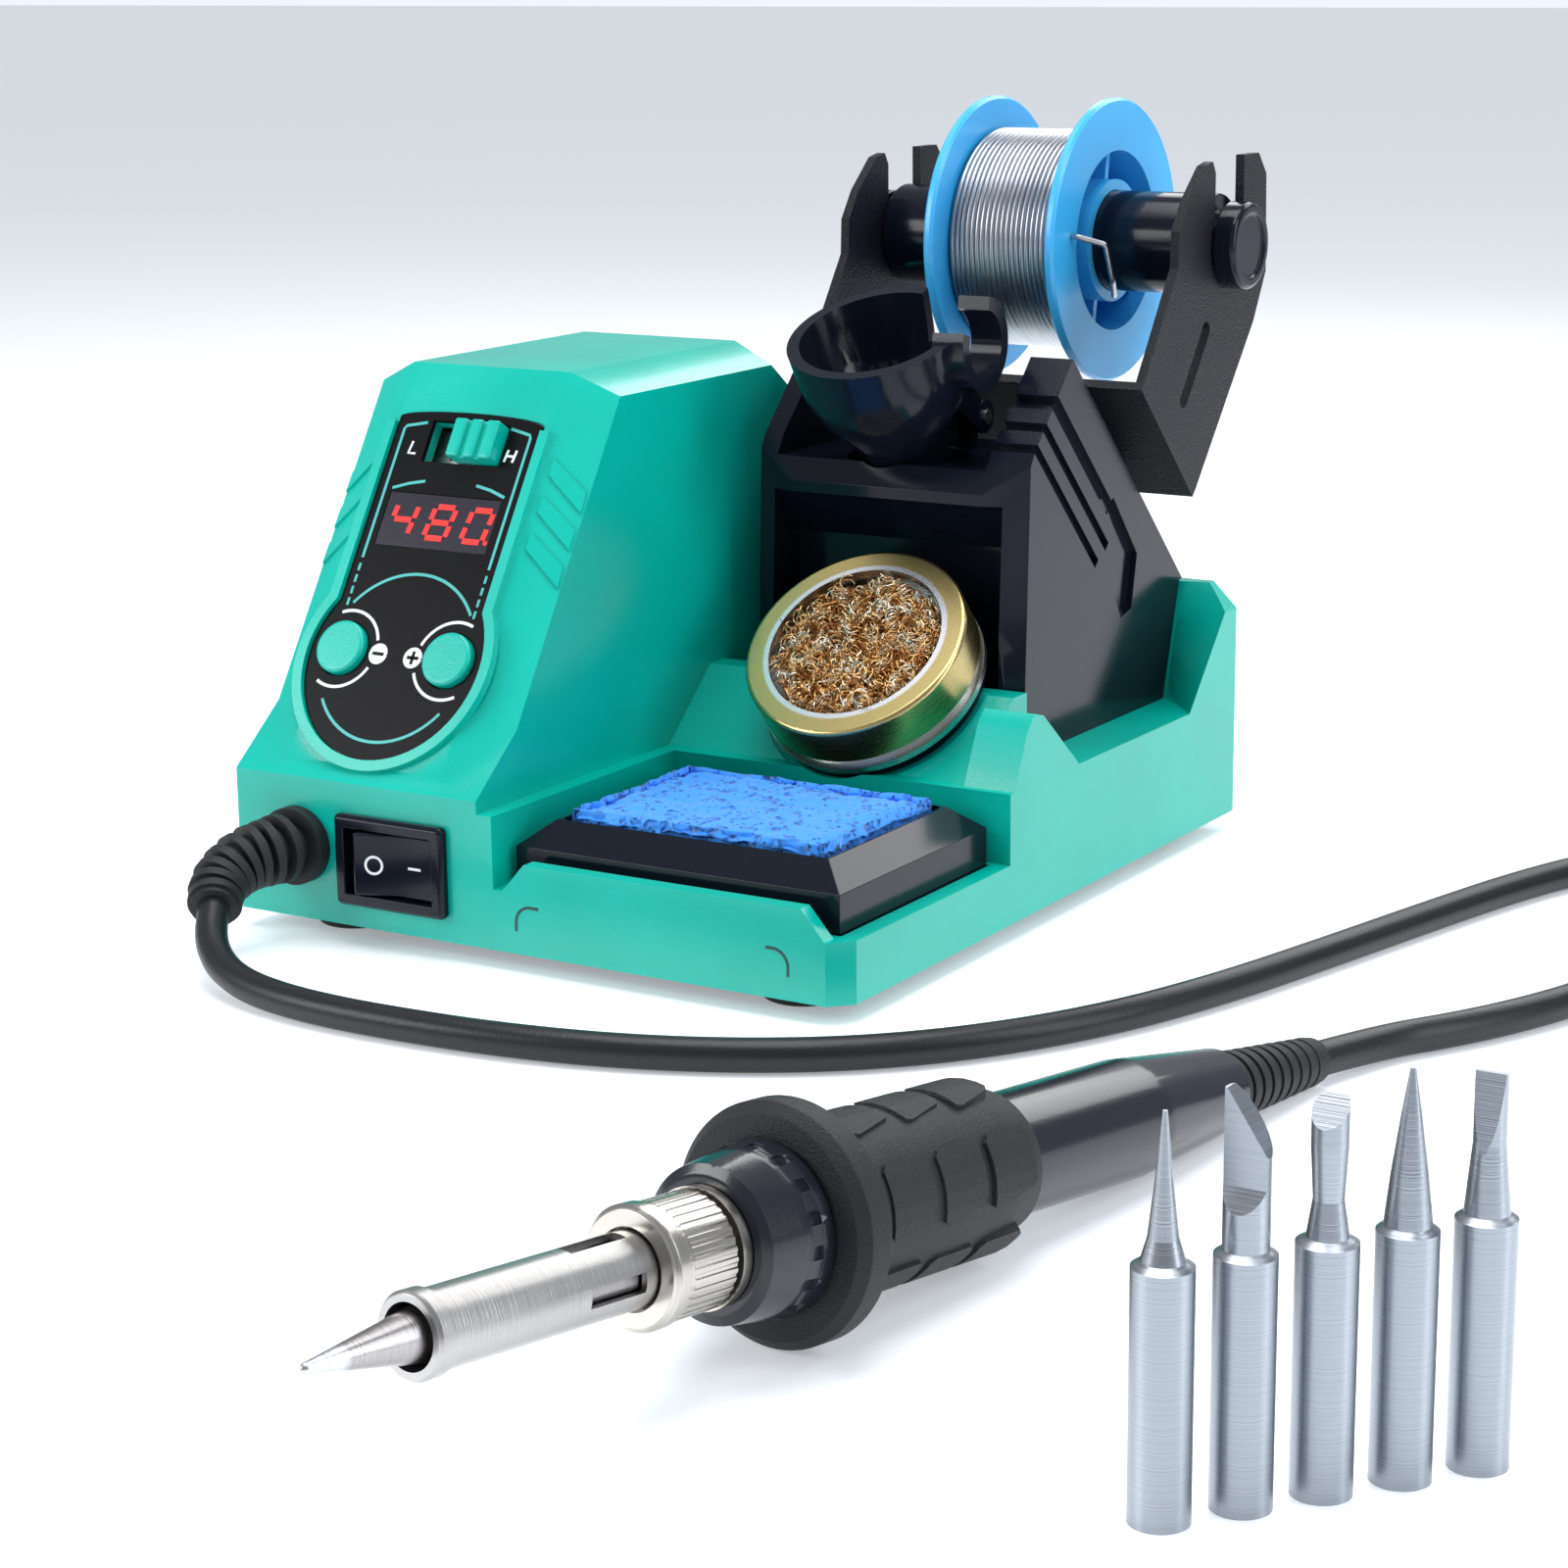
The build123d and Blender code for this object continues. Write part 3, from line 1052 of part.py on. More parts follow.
with BuildPart() as station_boot:
    with BuildLine() as boot_line:
        FilletPolyline(*boot_path, radius=corner_radii(boot_path))
    with BuildSketch(Plane(origin=boot_path[0], z_dir=Vector(*boot_path[1]) - Vector(*boot_path[0]))):
        Circle(3.7)
    sweep()
    for rib in range(8):
        at = 0.2 + 0.1 * rib
        start = boot_line.line @ at
        with BuildSketch(Plane(origin=start, z_dir=boot_line.line % at)):
            Circle(5.5 - 0.18 * rib)
        extrude(amount=1.4)
    with BuildSketch(facing(0)):
        with Locations((GLAND_X, GLAND_Z)):
            Circle(6.2)
    extrude(amount=2.2)
finish(station_boot, "station_boot")

# the cord's route on the table, from the station's boot to the coil, and from the coil to the iron
COIL_X, COIL_Y = 229.0, 114.8
COIL_IN_R, COIL_OUT_R = 16.3, 35.0
FRONT_ROUTE = [BOOT_ROUTE[-1], (13.9, -23.8, 7.5), (17.4, -27.5, 5.5), (22.6, -30.9, 3.8), (30.5, -33.8, 2.8),
               (43.0, -35.9, 2.6),
               (58.0, -36.0, 2.6), (75.0, -34.6, 2.6), (92.0, -31.0, 2.6), (108.0, -24.6, 2.6),
               (123.0, -15.0, 2.6), (136.0, -1.0, 2.6), (146.5, 17.0, 2.6), (154.0, 38.0, 2.6),
               (160.0, 62.0, 2.6), (166.0, 88.0, 2.6), (172.0, 112.0, 2.6), (179.0, 131.0, 2.6),
               (191.0, 143.0, 2.6), (207.0, 147.2, 2.6), (225.0, 147.2, 2.6)]
TAIL_ROUTE = [(228.0, 82.4, 7.8), (218.0, 82.0, 7.6), (209.4, 77.4, 5.2), (204.0, 69.0, 3.0),
              (200.6, 58.5, 2.6), (196.0, 46.5, 2.6), (190.2, 35.4, 2.6), (183.6, 25.6, 2.6)]


def on_table(points):
    """Body coordinates of a route as points of the part's frame."""
    return [(BASE_LEFT + x, BASE_FRONT + y, z) for x, y, z in points]


boot_end = Vector(*IRON_TIP) + Vector(*IRON_DIR) * (BOOT_AT + 0.6)
front_points = on_table(FRONT_ROUTE)
tail_points = on_table(TAIL_ROUTE) + [tuple(boot_end)]
for points, label in ((front_points, "cord_front"), (tail_points, "cord_tail")):
    radii = corner_radii(points)
    with BuildPart() as cord:
        with BuildLine() as route:
            FilletPolyline(*points, radius=radii)
        with BuildSketch(Plane(origin=points[0], z_dir=Vector(*points[1]) - Vector(*points[0]))):
            Circle(CORD_R)
        sweep()
    length = sum(edge.length for edge in route.line.edges())
    print(label, "length", round(length, 1), "radii", [round(r, 1) for r in radii],
          "volume ratio", round(cord.part.volume / (pi * CORD_R ** 2 * length), 4))
    finish(cord, label)

with BuildPart() as cord_coil:
    with BuildSketch(Plane(origin=(BASE_LEFT + COIL_X, BASE_FRONT + COIL_Y, 0.1))):
        Circle(COIL_OUT_R)
        Circle(COIL_IN_R, mode=Mode.SUBTRACT)
    extrude(amount=10.2)
finish(cord_coil, "cord_coil")
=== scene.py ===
# %% [markdown]
# # A soldering station, finished in Blender
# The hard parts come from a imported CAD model, which this script loads as a fixed frame. Blender
# adds what CAD leaves out: a soft cord, foam, curled metal turnings, wound wire, printed marks,
# softened edges and procedural finishes. Every length is in metres, in the model's own frame.

# %% Load the frame
import json
from math import atan2, cos, pi, radians, sin

import bmesh
import bpy
from mathutils import Matrix, Vector, noise


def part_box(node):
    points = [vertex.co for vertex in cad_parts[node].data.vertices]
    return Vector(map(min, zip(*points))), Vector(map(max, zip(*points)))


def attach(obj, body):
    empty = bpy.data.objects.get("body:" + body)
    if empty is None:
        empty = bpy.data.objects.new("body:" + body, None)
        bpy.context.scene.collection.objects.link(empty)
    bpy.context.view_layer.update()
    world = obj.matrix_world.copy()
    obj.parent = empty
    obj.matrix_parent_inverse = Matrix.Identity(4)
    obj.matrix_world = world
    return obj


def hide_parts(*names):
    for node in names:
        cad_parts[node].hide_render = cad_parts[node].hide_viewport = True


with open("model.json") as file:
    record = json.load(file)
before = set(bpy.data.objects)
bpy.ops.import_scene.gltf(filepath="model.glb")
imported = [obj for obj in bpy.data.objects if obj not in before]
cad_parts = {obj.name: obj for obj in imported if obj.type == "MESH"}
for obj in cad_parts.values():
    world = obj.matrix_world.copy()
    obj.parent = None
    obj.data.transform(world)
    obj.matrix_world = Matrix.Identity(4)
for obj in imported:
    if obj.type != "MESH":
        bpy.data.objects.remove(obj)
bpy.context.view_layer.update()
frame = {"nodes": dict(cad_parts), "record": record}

MM = 0.001
LEFT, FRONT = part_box("housing_shell")[0][0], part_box("housing_shell")[0][1]


def body(x, y, z):
    """A point given in millimetres from the body's front left corner, on the table."""
    return Vector((LEFT + x * MM, FRONT + y * MM, z * MM))


print("frame:", len(frame["nodes"]), "nodes, body corner at", round(LEFT, 4), round(FRONT, 4))

# %% [markdown]
# ## Camera
# A long lens stands to the right of the front and looks slightly down, as for a catalogue.
# The camera's axes are built from a heading, a downward tilt and a small roll.

# %% Camera
HEADING, DOWN, ROLL = radians(31.66), radians(13.8), radians(-0.64)
ahead = Vector((-sin(HEADING) * cos(DOWN), cos(HEADING) * cos(DOWN), -sin(DOWN)))
level_right = Vector((cos(HEADING), sin(HEADING), 0))
level_up = level_right.cross(ahead)
camera_right = cos(ROLL) * level_right + sin(ROLL) * level_up
camera_up = -sin(ROLL) * level_right + cos(ROLL) * level_up

camera_data = bpy.data.cameras.new("camera")
camera_data.lens, camera_data.sensor_width = 79.67, 36.0
camera_data.clip_end = 50
camera = bpy.data.objects.new("camera", camera_data)
camera.matrix_world = (Matrix.Translation(body(355.1, -410.3, 153.8))
                       @ Matrix((camera_right, camera_up, -ahead)).transposed().to_4x4())
bpy.context.collection.objects.link(camera)
bpy.context.scene.camera = camera
print("camera at", [round(v, 3) for v in camera.location])

# %% [markdown]
# ## The cord
# One soft three-core cord runs from the station's strain relief to the iron. The part that is not
# laid out is wound into a flat coil on the table. A NURBS curve bends like a soft cord does, so the
# route is its control points, and the coil's turns are more points of the same curve: a spiral
# inwards on the table, a short climb, and a spiral outwards on top of it.

# %% The cord's route
CORD_D = 0.005
FRONT_ROUTE = [(11.8, -20.4, 9.4), (13.9, -23.8, 7.5), (17.4, -27.5, 5.5), (22.6, -30.9, 3.8),
               (30.5, -33.8, 2.8), (43.0, -35.9, 2.6), (58.0, -36.0, 2.6), (75.0, -34.6, 2.6),
               (92.0, -31.0, 2.6), (108.0, -24.6, 2.6), (123.0, -15.0, 2.6), (136.0, -1.0, 2.6),
               (146.5, 17.0, 2.6), (154.0, 38.0, 2.6), (160.0, 62.0, 2.6), (166.0, 88.0, 2.6),
               (172.0, 112.0, 2.6), (179.0, 131.0, 2.6), (191.0, 143.0, 2.6), (207.0, 147.2, 2.6)]
TAIL_ROUTE = [(218.0, 82.0, 7.8), (209.4, 77.4, 5.2), (204.0, 69.0, 3.0), (200.6, 58.5, 2.6),
              (196.0, 46.5, 2.6), (190.2, 35.4, 2.6), (183.6, 25.6, 2.6), (179.6, 11.6, 3.3)]
COIL_X, COIL_Y, COIL_R = 229.0, 114.8, 32.4
COIL_PITCH, COIL_LOW, COIL_HIGH = 5.2, 2.6, 7.8
TURNS_IN, TURNS_CLIMB, TURNS_ALL, PER_TURN = 2.3, 2.8, 4.5, 16


def coil_point(turn):
    """A point of the coil after that many clockwise turns from its far side."""
    inner = COIL_R - COIL_PITCH * TURNS_IN
    if turn <= TURNS_IN:
        radius, height = COIL_R - COIL_PITCH * turn, COIL_LOW
    elif turn <= TURNS_CLIMB:
        part = (turn - TURNS_IN) / (TURNS_CLIMB - TURNS_IN)
        radius = inner - 1.6 * sin(pi * part)
        height = COIL_LOW + (COIL_HIGH - COIL_LOW) * part
    else:
        part = (turn - TURNS_CLIMB) / (TURNS_ALL - TURNS_CLIMB)
        radius, height = inner + (COIL_R - inner) * part, COIL_HIGH
    angle = 2 * pi * turn
    return COIL_X + radius * sin(angle), COIL_Y + radius * cos(angle), height


coil = [coil_point(step / PER_TURN) for step in range(1, int(TURNS_ALL * PER_TURN))]
route = [body(*point) for point in FRONT_ROUTE + coil + TAIL_ROUTE]
cord_data = bpy.data.curves.new("iron_cord", "CURVE")
cord_data.dimensions = "3D"
spline = cord_data.splines.new("NURBS")
spline.points.add(len(route) - 1)
for control, point in zip(spline.points, route):
    control.co = (*point, 1)
    control.radius = CORD_D / 2  # the tube's radius is this times the bevel depth
spline.order_u = 3
spline.use_endpoint_u = True
cord_data.resolution_u = 8
iron_cord = bpy.data.objects.new("iron_cord", cord_data)
bpy.context.collection.objects.link(iron_cord)
cord_data.bevel_depth = 1.0
cord_data.bevel_resolution = 6
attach(iron_cord, "station")
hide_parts("cord_front", "cord_coil", "cord_tail")
print("cord control points:", len(route))

# %% [markdown]
# ## Light and floor
# Glossy black plastic shows its surroundings, so the lights are large and soft, with dark gaps
# between them: one wide panel overhead, one on the left and a narrow one on the right. The floor is
# pale and a little glossy, so that it takes a faint reflection. The sky is dimmer in reflections
# than to the eye, which keeps black plastic black in front of a white backdrop.

# %% Floor, sky and lamps
floor_mesh = bpy.data.meshes.new("floor")
floor_mesh.from_pydata([(-6, -6, 0), (6, -6, 0), (6, 6, 0), (-6, 6, 0)], [], [(0, 1, 2, 3)])
floor = bpy.data.objects.new("floor", floor_mesh)
bpy.context.collection.objects.link(floor)

world = bpy.data.worlds.new("studio")
bpy.context.scene.world = world
world.use_nodes = True
sky = world.node_tree.nodes["Background"]
sky.inputs["Color"].default_value = (0.88, 0.93, 1.0, 1)
backdrop = world.node_tree.nodes.new("ShaderNodeMapRange")
backdrop.inputs["To Min"].default_value, backdrop.inputs["To Max"].default_value = 0.42, 1.0
seen = world.node_tree.nodes.new("ShaderNodeLightPath")
world.node_tree.links.new(seen.outputs["Is Camera Ray"], backdrop.inputs["Value"])
world.node_tree.links.new(backdrop.outputs[0], sky.inputs["Strength"])
bpy.context.scene.view_settings.view_transform = "Standard"


def soft_lamp(name, at, target, width, height, watts, colour=(1, 1, 1)):
    """A rectangular softbox at one body point, aimed at another."""
    data = bpy.data.lights.new(name, "AREA")
    data.shape, data.size, data.size_y = "RECTANGLE", width, height
    data.energy, data.color = watts, colour
    lamp = bpy.data.objects.new(name, data)
    direction = body(*target) - body(*at)
    lamp.matrix_world = (Matrix.Translation(body(*at))
                         @ direction.to_track_quat("-Z", "Y").to_matrix().to_4x4())
    bpy.context.collection.objects.link(lamp)


soft_lamp("overhead", (60, 40, 900), (60, 40, 0), 0.7, 0.7, 7.5)
soft_lamp("front_left", (-520, -620, 420), (60, 0, 40), 0.5, 0.4, 4.2)
soft_lamp("right_strip", (760, 60, 380), (90, 40, 40), 0.20, 0.7, 2.5, (0.9, 0.95, 1.0))
soft_lamp("back_rim", (100, 700, 520), (60, 60, 60), 0.8, 0.3, 3.0)

# %% [markdown]
# ## Shader groups
# Two effects turn up in many finishes, so each is built once as a node group with named inputs:
# moulded skin, which varies colour and gloss a little and adds fine grain; and turned metal, with
# streaks round an axis. Spotted foam is built in its own material. A group gives out only values
# that change over the surface, and the material's own shader takes every even value directly.


# %% Node helpers
def add(tree, kind, inputs=None, **settings):
    """A node with its settings and inputs; an input may be a value or another node's output."""
    made = tree.nodes.new(kind)
    for key, value in settings.items():
        setattr(made, key, value)
    for key, value in (inputs or {}).items():
        socket = made.inputs[key]
        if isinstance(value, bpy.types.NodeSocket):
            tree.links.new(value, socket)
        else:
            socket.default_value = value
    return made


def group_tree(name, kind, inputs, outputs):
    """An empty node group with named sockets, and its two end nodes."""
    tree = bpy.data.node_groups.new(name, kind)
    for way, sockets in (("INPUT", inputs), ("OUTPUT", outputs)):
        for label, socket_type, *value in sockets:
            socket = tree.interface.new_socket(label, in_out=way, socket_type=socket_type)
            if value:
                socket.default_value = value[0]
    return tree, tree.nodes.new("NodeGroupInput"), tree.nodes.new("NodeGroupOutput")


NUMBER, COLOUR, VECTOR = "NodeSocketFloat", "NodeSocketColor", "NodeSocketVector"

# %% Moulded skin
skin, skin_in, skin_out = group_tree(
    "moulded skin", "ShaderNodeTree",
    [("Colour", COLOUR, (0.5, 0.5, 0.5, 1)), ("Grain Scale", NUMBER, 2500.0),
     ("Grain Depth", NUMBER, 0.1), ("Roughness", NUMBER, 0.3), ("Spread", NUMBER, 0.08)],
    [("Colour", COLOUR), ("Roughness", NUMBER), ("Normal", VECTOR)])
place = add(skin, "ShaderNodeTexCoord").outputs["Object"]
fine = add(skin, "ShaderNodeTexNoise", {"Vector": place, "Scale": skin_in.outputs["Grain Scale"],
                                        "Detail": 2.0})
broad = add(skin, "ShaderNodeTexNoise", {"Vector": place, "Scale": 55.0, "Detail": 3.0})
bump = add(skin, "ShaderNodeBump", {"Strength": skin_in.outputs["Grain Depth"], "Distance": 0.0004,
                                    "Height": fine.outputs[0]})
skin.links.new(bump.outputs[0], skin_out.inputs["Normal"])
centred = add(skin, "ShaderNodeMath", {0: broad.outputs[0], 1: 0.5}, operation="SUBTRACT")
spread = add(skin, "ShaderNodeMath", {0: centred.outputs[0], 1: skin_in.outputs["Spread"],
                                      2: skin_in.outputs["Roughness"]}, operation="MULTIPLY_ADD")
skin.links.new(spread.outputs[0], skin_out.inputs["Roughness"])
shade = add(skin, "ShaderNodeMapRange", {0: broad.outputs[0], 1: 0.3, 2: 0.7, 3: 0.94, 4: 1.05})
tint = add(skin, "ShaderNodeVectorMath", {0: skin_in.outputs["Colour"], 1: shade.outputs[0]},
           operation="MULTIPLY")
skin.links.new(tint.outputs[0], skin_out.inputs["Colour"])

# %% Turned metal
turned, turned_in, turned_out = group_tree(
    "turned metal", "ShaderNodeTree",
    [("Colour", COLOUR, (0.7, 0.7, 0.7, 1)), ("Axis", VECTOR, (0, 0, 1)),
     ("Lines", NUMBER, 6000.0), ("Depth", NUMBER, 0.1), ("Roughness", NUMBER, 0.25)],
    [("Colour", COLOUR), ("Roughness", NUMBER), ("Normal", VECTOR)])
place = add(turned, "ShaderNodeTexCoord").outputs["Object"]
along = add(turned, "ShaderNodeVectorMath", {0: place, 1: turned_in.outputs["Axis"]},
            operation="DOT_PRODUCT")
streaks = add(turned, "ShaderNodeTexNoise", {"W": along.outputs["Value"],
                                             "Scale": turned_in.outputs["Lines"], "Detail": 4.0},
              noise_dimensions="1D")
bump = add(turned, "ShaderNodeBump", {"Strength": turned_in.outputs["Depth"], "Distance": 0.0002,
                                      "Height": streaks.outputs[0]})
turned.links.new(bump.outputs[0], turned_out.inputs["Normal"])
rough = add(turned, "ShaderNodeMath", {0: streaks.outputs[0], 1: 0.14,
                                       2: turned_in.outputs["Roughness"]}, operation="MULTIPLY_ADD")
turned.links.new(rough.outputs[0], turned_out.inputs["Roughness"])
shade = add(turned, "ShaderNodeMapRange", {0: streaks.outputs[0], 1: 0.3, 2: 0.7, 3: 0.86, 4: 1.06})
tint = add(turned, "ShaderNodeVectorMath", {0: turned_in.outputs["Colour"], 1: shade.outputs[0]},
           operation="MULTIPLY")
turned.links.new(tint.outputs[0], turned_out.inputs["Colour"])
print("groups:", [g.name for g in bpy.data.node_groups])

# %% [markdown]
# ## Finishes
# Plastics, rubbers and paint share the moulded skin, with their own colour, grain and gloss.
# Metals share the streaks of turning or brushing, which run round each piece's own axis. The iron
# lies at an angle, so its axis is worked out from how it rests on its flange and its tail.

# %% Plastic, rubber and paint
FLANGE_R, END_R = 14.1, 5.6        # the iron rests on its flange and on its tail
FLANGE_AT, END_AT = 72.6, 161.5    # and these lie so far back from its point
DOWN_SLOPE = atan2(FLANGE_R - END_R, END_AT - FLANGE_AT)
IRON_HEADING = radians(82.0)
IRON_DIR = Vector((cos(IRON_HEADING) * cos(DOWN_SLOPE), sin(IRON_HEADING) * cos(DOWN_SLOPE),
                   -sin(DOWN_SLOPE)))
TIN_TILT = radians(41.0)
TIN_AXIS = Vector((0, -sin(TIN_TILT), cos(TIN_TILT)))


def new_material(name):
    """A fresh material, its tree and its shader."""
    made = bpy.data.materials.new(name)
    made.use_nodes = True
    return made, made.node_tree, made.node_tree.nodes["Principled BSDF"]


def place_group(tree, shader, group, values):
    """Puts a shader group in a material and joins its three outputs to the shader."""
    used = add(tree, "ShaderNodeGroup", node_tree=group)
    for label, value in values.items():
        used.inputs[label].default_value = value
    tree.links.new(used.outputs["Colour"], shader.inputs["Base Color"])
    tree.links.new(used.outputs["Roughness"], shader.inputs["Roughness"])
    tree.links.new(used.outputs["Normal"], shader.inputs["Normal"])
    return used


SKINS = {  # name: colour, grain per metre, grain depth, roughness, spread, coat
    "teal_plastic": ((0.0, 0.44, 0.35), 3200, 0.08, 0.25, 0.05, 0.12),
    "gloss_black": ((0.005, 0.007, 0.014), 3000, 0.05, 0.14, 0.05, 0.12),
    "black_plastic": ((0.014, 0.015, 0.018), 3000, 0.25, 0.45, 0.10, 0.0),
    "black_rubber": ((0.014, 0.014, 0.016), 3500, 0.35, 0.55, 0.12, 0.0),
    "overlay_film": ((0.004, 0.004, 0.005), 4000, 0.05, 0.32, 0.05, 0.0),
    "display_red": ((0.012, 0.010, 0.020), 900, 0.02, 0.20, 0.04, 0.2),
    "board_green": ((0.010, 0.13, 0.045), 2000, 0.10, 0.35, 0.10, 0.0),
    "black_powder_coat": ((0.012, 0.012, 0.016), 2600, 0.55, 0.42, 0.10, 0.0),
    "pale_blue_plastic": ((0.045, 0.43, 0.86), 3000, 0.06, 0.28, 0.05, 0.1),
    "heater_ceramic": ((0.80, 0.78, 0.70), 3000, 0.15, 0.55, 0.10, 0.0),
    "handle_black": ((0.009, 0.011, 0.018), 3000, 0.06, 0.20, 0.05, 0.3),
    "grip_rubber": ((0.016, 0.017, 0.020), 3200, 0.40, 0.52, 0.10, 0.0),
    "cord_pvc": ((0.010, 0.010, 0.013), 1800, 0.12, 0.36, 0.10, 0.0),
    "white_ink": ((0.82, 0.84, 0.86), 3000, 0.05, 0.40, 0.05, 0.0),
    "teal_ink": ((0.05, 0.42, 0.40), 3000, 0.05, 0.40, 0.05, 0.0),
    "dark_ink": ((0.01, 0.05, 0.05), 3000, 0.05, 0.40, 0.05, 0.0),
}
SHEEN_LEVEL = {"teal_plastic": 0.38, "overlay_film": 0.10, "gloss_black": 0.18, "black_powder_coat": 0.16,
               "grip_rubber": 0.28, "handle_black": 0.35, "cord_pvc": 0.35, "black_rubber": 0.35}
finishes = {}
for label, (colour, grain, depth, roughness, spread_by, coat) in SKINS.items():
    finishes[label], tree, shader = new_material(label)
    place_group(tree, shader, skin, {"Colour": (*colour, 1), "Grain Scale": grain,
                                     "Grain Depth": depth, "Roughness": roughness,
                                     "Spread": spread_by})
    shader.inputs["Coat Weight"].default_value = coat
    shader.inputs["Coat Roughness"].default_value = 0.08
    shader.inputs["Specular IOR Level"].default_value = SHEEN_LEVEL.get(label, 0.5)
print("moulded finishes:", len(SKINS))

# %% Metals
METALS = {  # name: colour, axis, lines per metre, depth, roughness
    "plated_steel": ((0.50, 0.50, 0.49), (0, 0, 1), 3000, 0.10, 0.25),
    "core_steel": ((0.20, 0.20, 0.21), (1, 0, 0), 2000, 0.60, 0.40),
    "copper_wire": ((0.75, 0.30, 0.13), (1, 0, 0), 2200, 0.70, 0.28),
    "tin_plate": ((0.70, 0.70, 0.68), tuple(TIN_AXIS), 3000, 0.10, 0.20),
    "solder_wire": ((0.42, 0.43, 0.46), (1, 0, 0), 1500, 0.06, 0.22),
    "brushed_stainless": ((0.46, 0.45, 0.44), tuple(IRON_DIR), 5000, 0.16, 0.24),
    "nickel_plate": ((0.56, 0.53, 0.48), tuple(IRON_DIR), 4000, 0.08, 0.16),
    "plated_tip": ((0.36, 0.39, 0.43), (0, 0, 1), 5000, 0.14, 0.24),
}
for label, (colour, axis, lines, depth, roughness) in METALS.items():
    finishes[label], tree, shader = new_material(label)
    place_group(tree, shader, turned, {"Colour": (*colour, 1), "Axis": axis, "Lines": lines,
                                       "Depth": depth, "Roughness": roughness})
    shader.inputs["Metallic"].default_value = 1.0
print("metal finishes:", len(METALS))

# %% [markdown]
# The tin's lid is lacquered gold outside, with a bare silver rim rolled round its opening, so its
# colour depends on how far a point lies from the tin's axis. The iron's tip is tinned bright at its
# point and duller behind. The wool mixes copper and gold turnings, with pale patches that are painted
# highlights.


# %% Finishes that change along a piece
def distance_from_axis(tree, centre, axis):
    """A socket with each point's distance from a line."""
    place_now = add(tree, "ShaderNodeTexCoord").outputs["Object"]
    arm = add(tree, "ShaderNodeVectorMath", {0: place_now, 1: tuple(centre)}, operation="SUBTRACT")
    across_it = add(tree, "ShaderNodeVectorMath", {0: arm.outputs[0], 1: tuple(axis)},
                    operation="CROSS_PRODUCT")
    return add(tree, "ShaderNodeVectorMath", {0: across_it.outputs[0]},
               operation="LENGTH").outputs["Value"]


def two_tone(tree, shader, chooser, first, second):
    """Mixes the colour that reaches the shader between two tints by a 0 to 1 socket."""
    source = shader.inputs["Base Color"].links[0].from_socket
    tone = add(tree, "ShaderNodeMix", {"Factor": chooser, 6: (*first, 1), 7: (*second, 1)},
               data_type="RGBA")
    mixed = add(tree, "ShaderNodeVectorMath", {0: tone.outputs[2], 1: source}, operation="MULTIPLY")
    tree.links.new(mixed.outputs[0], shader.inputs["Base Color"])


LID_CENTRE = body(79.8, 58.0, 43.8)
finishes["gold_lacquer"], tree, shader = new_material("gold_lacquer")
place_group(tree, shader, turned, {"Colour": (1, 1, 1, 1), "Axis": tuple(TIN_AXIS), "Lines": 3000,
                                   "Depth": 0.08, "Roughness": 0.20})
shader.inputs["Metallic"].default_value = 1.0
away = distance_from_axis(tree, LID_CENTRE, TIN_AXIS)
outer = add(tree, "ShaderNodeMapRange", {0: away, 1: 0.0154, 2: 0.0158, 3: 0.0, 4: 1.0}).outputs[0]
two_tone(tree, shader, outer, (0.70, 0.71, 0.74), (0.50, 0.40, 0.17))

IRON_TIP = body(153.6, -172.6, FLANGE_R + 0.1 + FLANGE_AT * sin(DOWN_SLOPE))
finishes["tinned_tip"], tree, shader = new_material("tinned_tip")
place_group(tree, shader, turned, {"Colour": (1, 1, 1, 1), "Axis": tuple(IRON_DIR), "Lines": 4000,
                                   "Depth": 0.10, "Roughness": 0.22})
shader.inputs["Metallic"].default_value = 1.0
place = add(tree, "ShaderNodeTexCoord").outputs["Object"]
back = add(tree, "ShaderNodeVectorMath", {0: place, 1: tuple(IRON_TIP)}, operation="SUBTRACT")
back = add(tree, "ShaderNodeVectorMath", {0: back.outputs[0], 1: tuple(IRON_DIR)},
           operation="DOT_PRODUCT").outputs["Value"]
dull = add(tree, "ShaderNodeMapRange", {0: back, 1: 0.0045, 2: 0.0056, 3: 0.0, 4: 1.0}).outputs[0]
two_tone(tree, shader, dull, (0.62, 0.63, 0.66), (0.36, 0.34, 0.34))

finishes["brass_curls"], tree, shader = new_material("brass_curls")
shader.inputs["Metallic"].default_value = 1.0
shader.inputs["Roughness"].default_value = 0.22
place = add(tree, "ShaderNodeTexCoord").outputs["Object"]
patch = add(tree, "ShaderNodeTexNoise", {"Vector": place, "Scale": 420.0, "Detail": 3.0}).outputs[0]
wool_tone_and_painted_highlight_ramp = add(tree, "ShaderNodeValToRGB", {"Fac": patch})
wool_tone_and_painted_highlight_ramp.color_ramp.elements[0].position, wool_tone_and_painted_highlight_ramp.color_ramp.elements[0].color = 0.36, (0.52, 0.21, 0.07, 1)
# the near-white third colour is a painted highlight on the curls; copper and gold are their own tone
wool_tone_and_painted_highlight_ramp.color_ramp.elements[1].position, wool_tone_and_painted_highlight_ramp.color_ramp.elements[1].color = 0.62, (1.0, 0.95, 0.82, 1)
middle = wool_tone_and_painted_highlight_ramp.color_ramp.elements.new(0.5)
middle.color = (0.92, 0.58, 0.24, 1)
tree.links.new(wool_tone_and_painted_highlight_ramp.outputs[0], shader.inputs["Base Color"])

finishes["display_glow"], tree, shader = new_material("display_glow")
shader.inputs["Base Color"].default_value = (0.5, 0.01, 0.01, 1)
shader.inputs["Emission Color"].default_value = (1.0, 0.015, 0.01, 1)
shader.inputs["Emission Strength"].default_value = 0.6

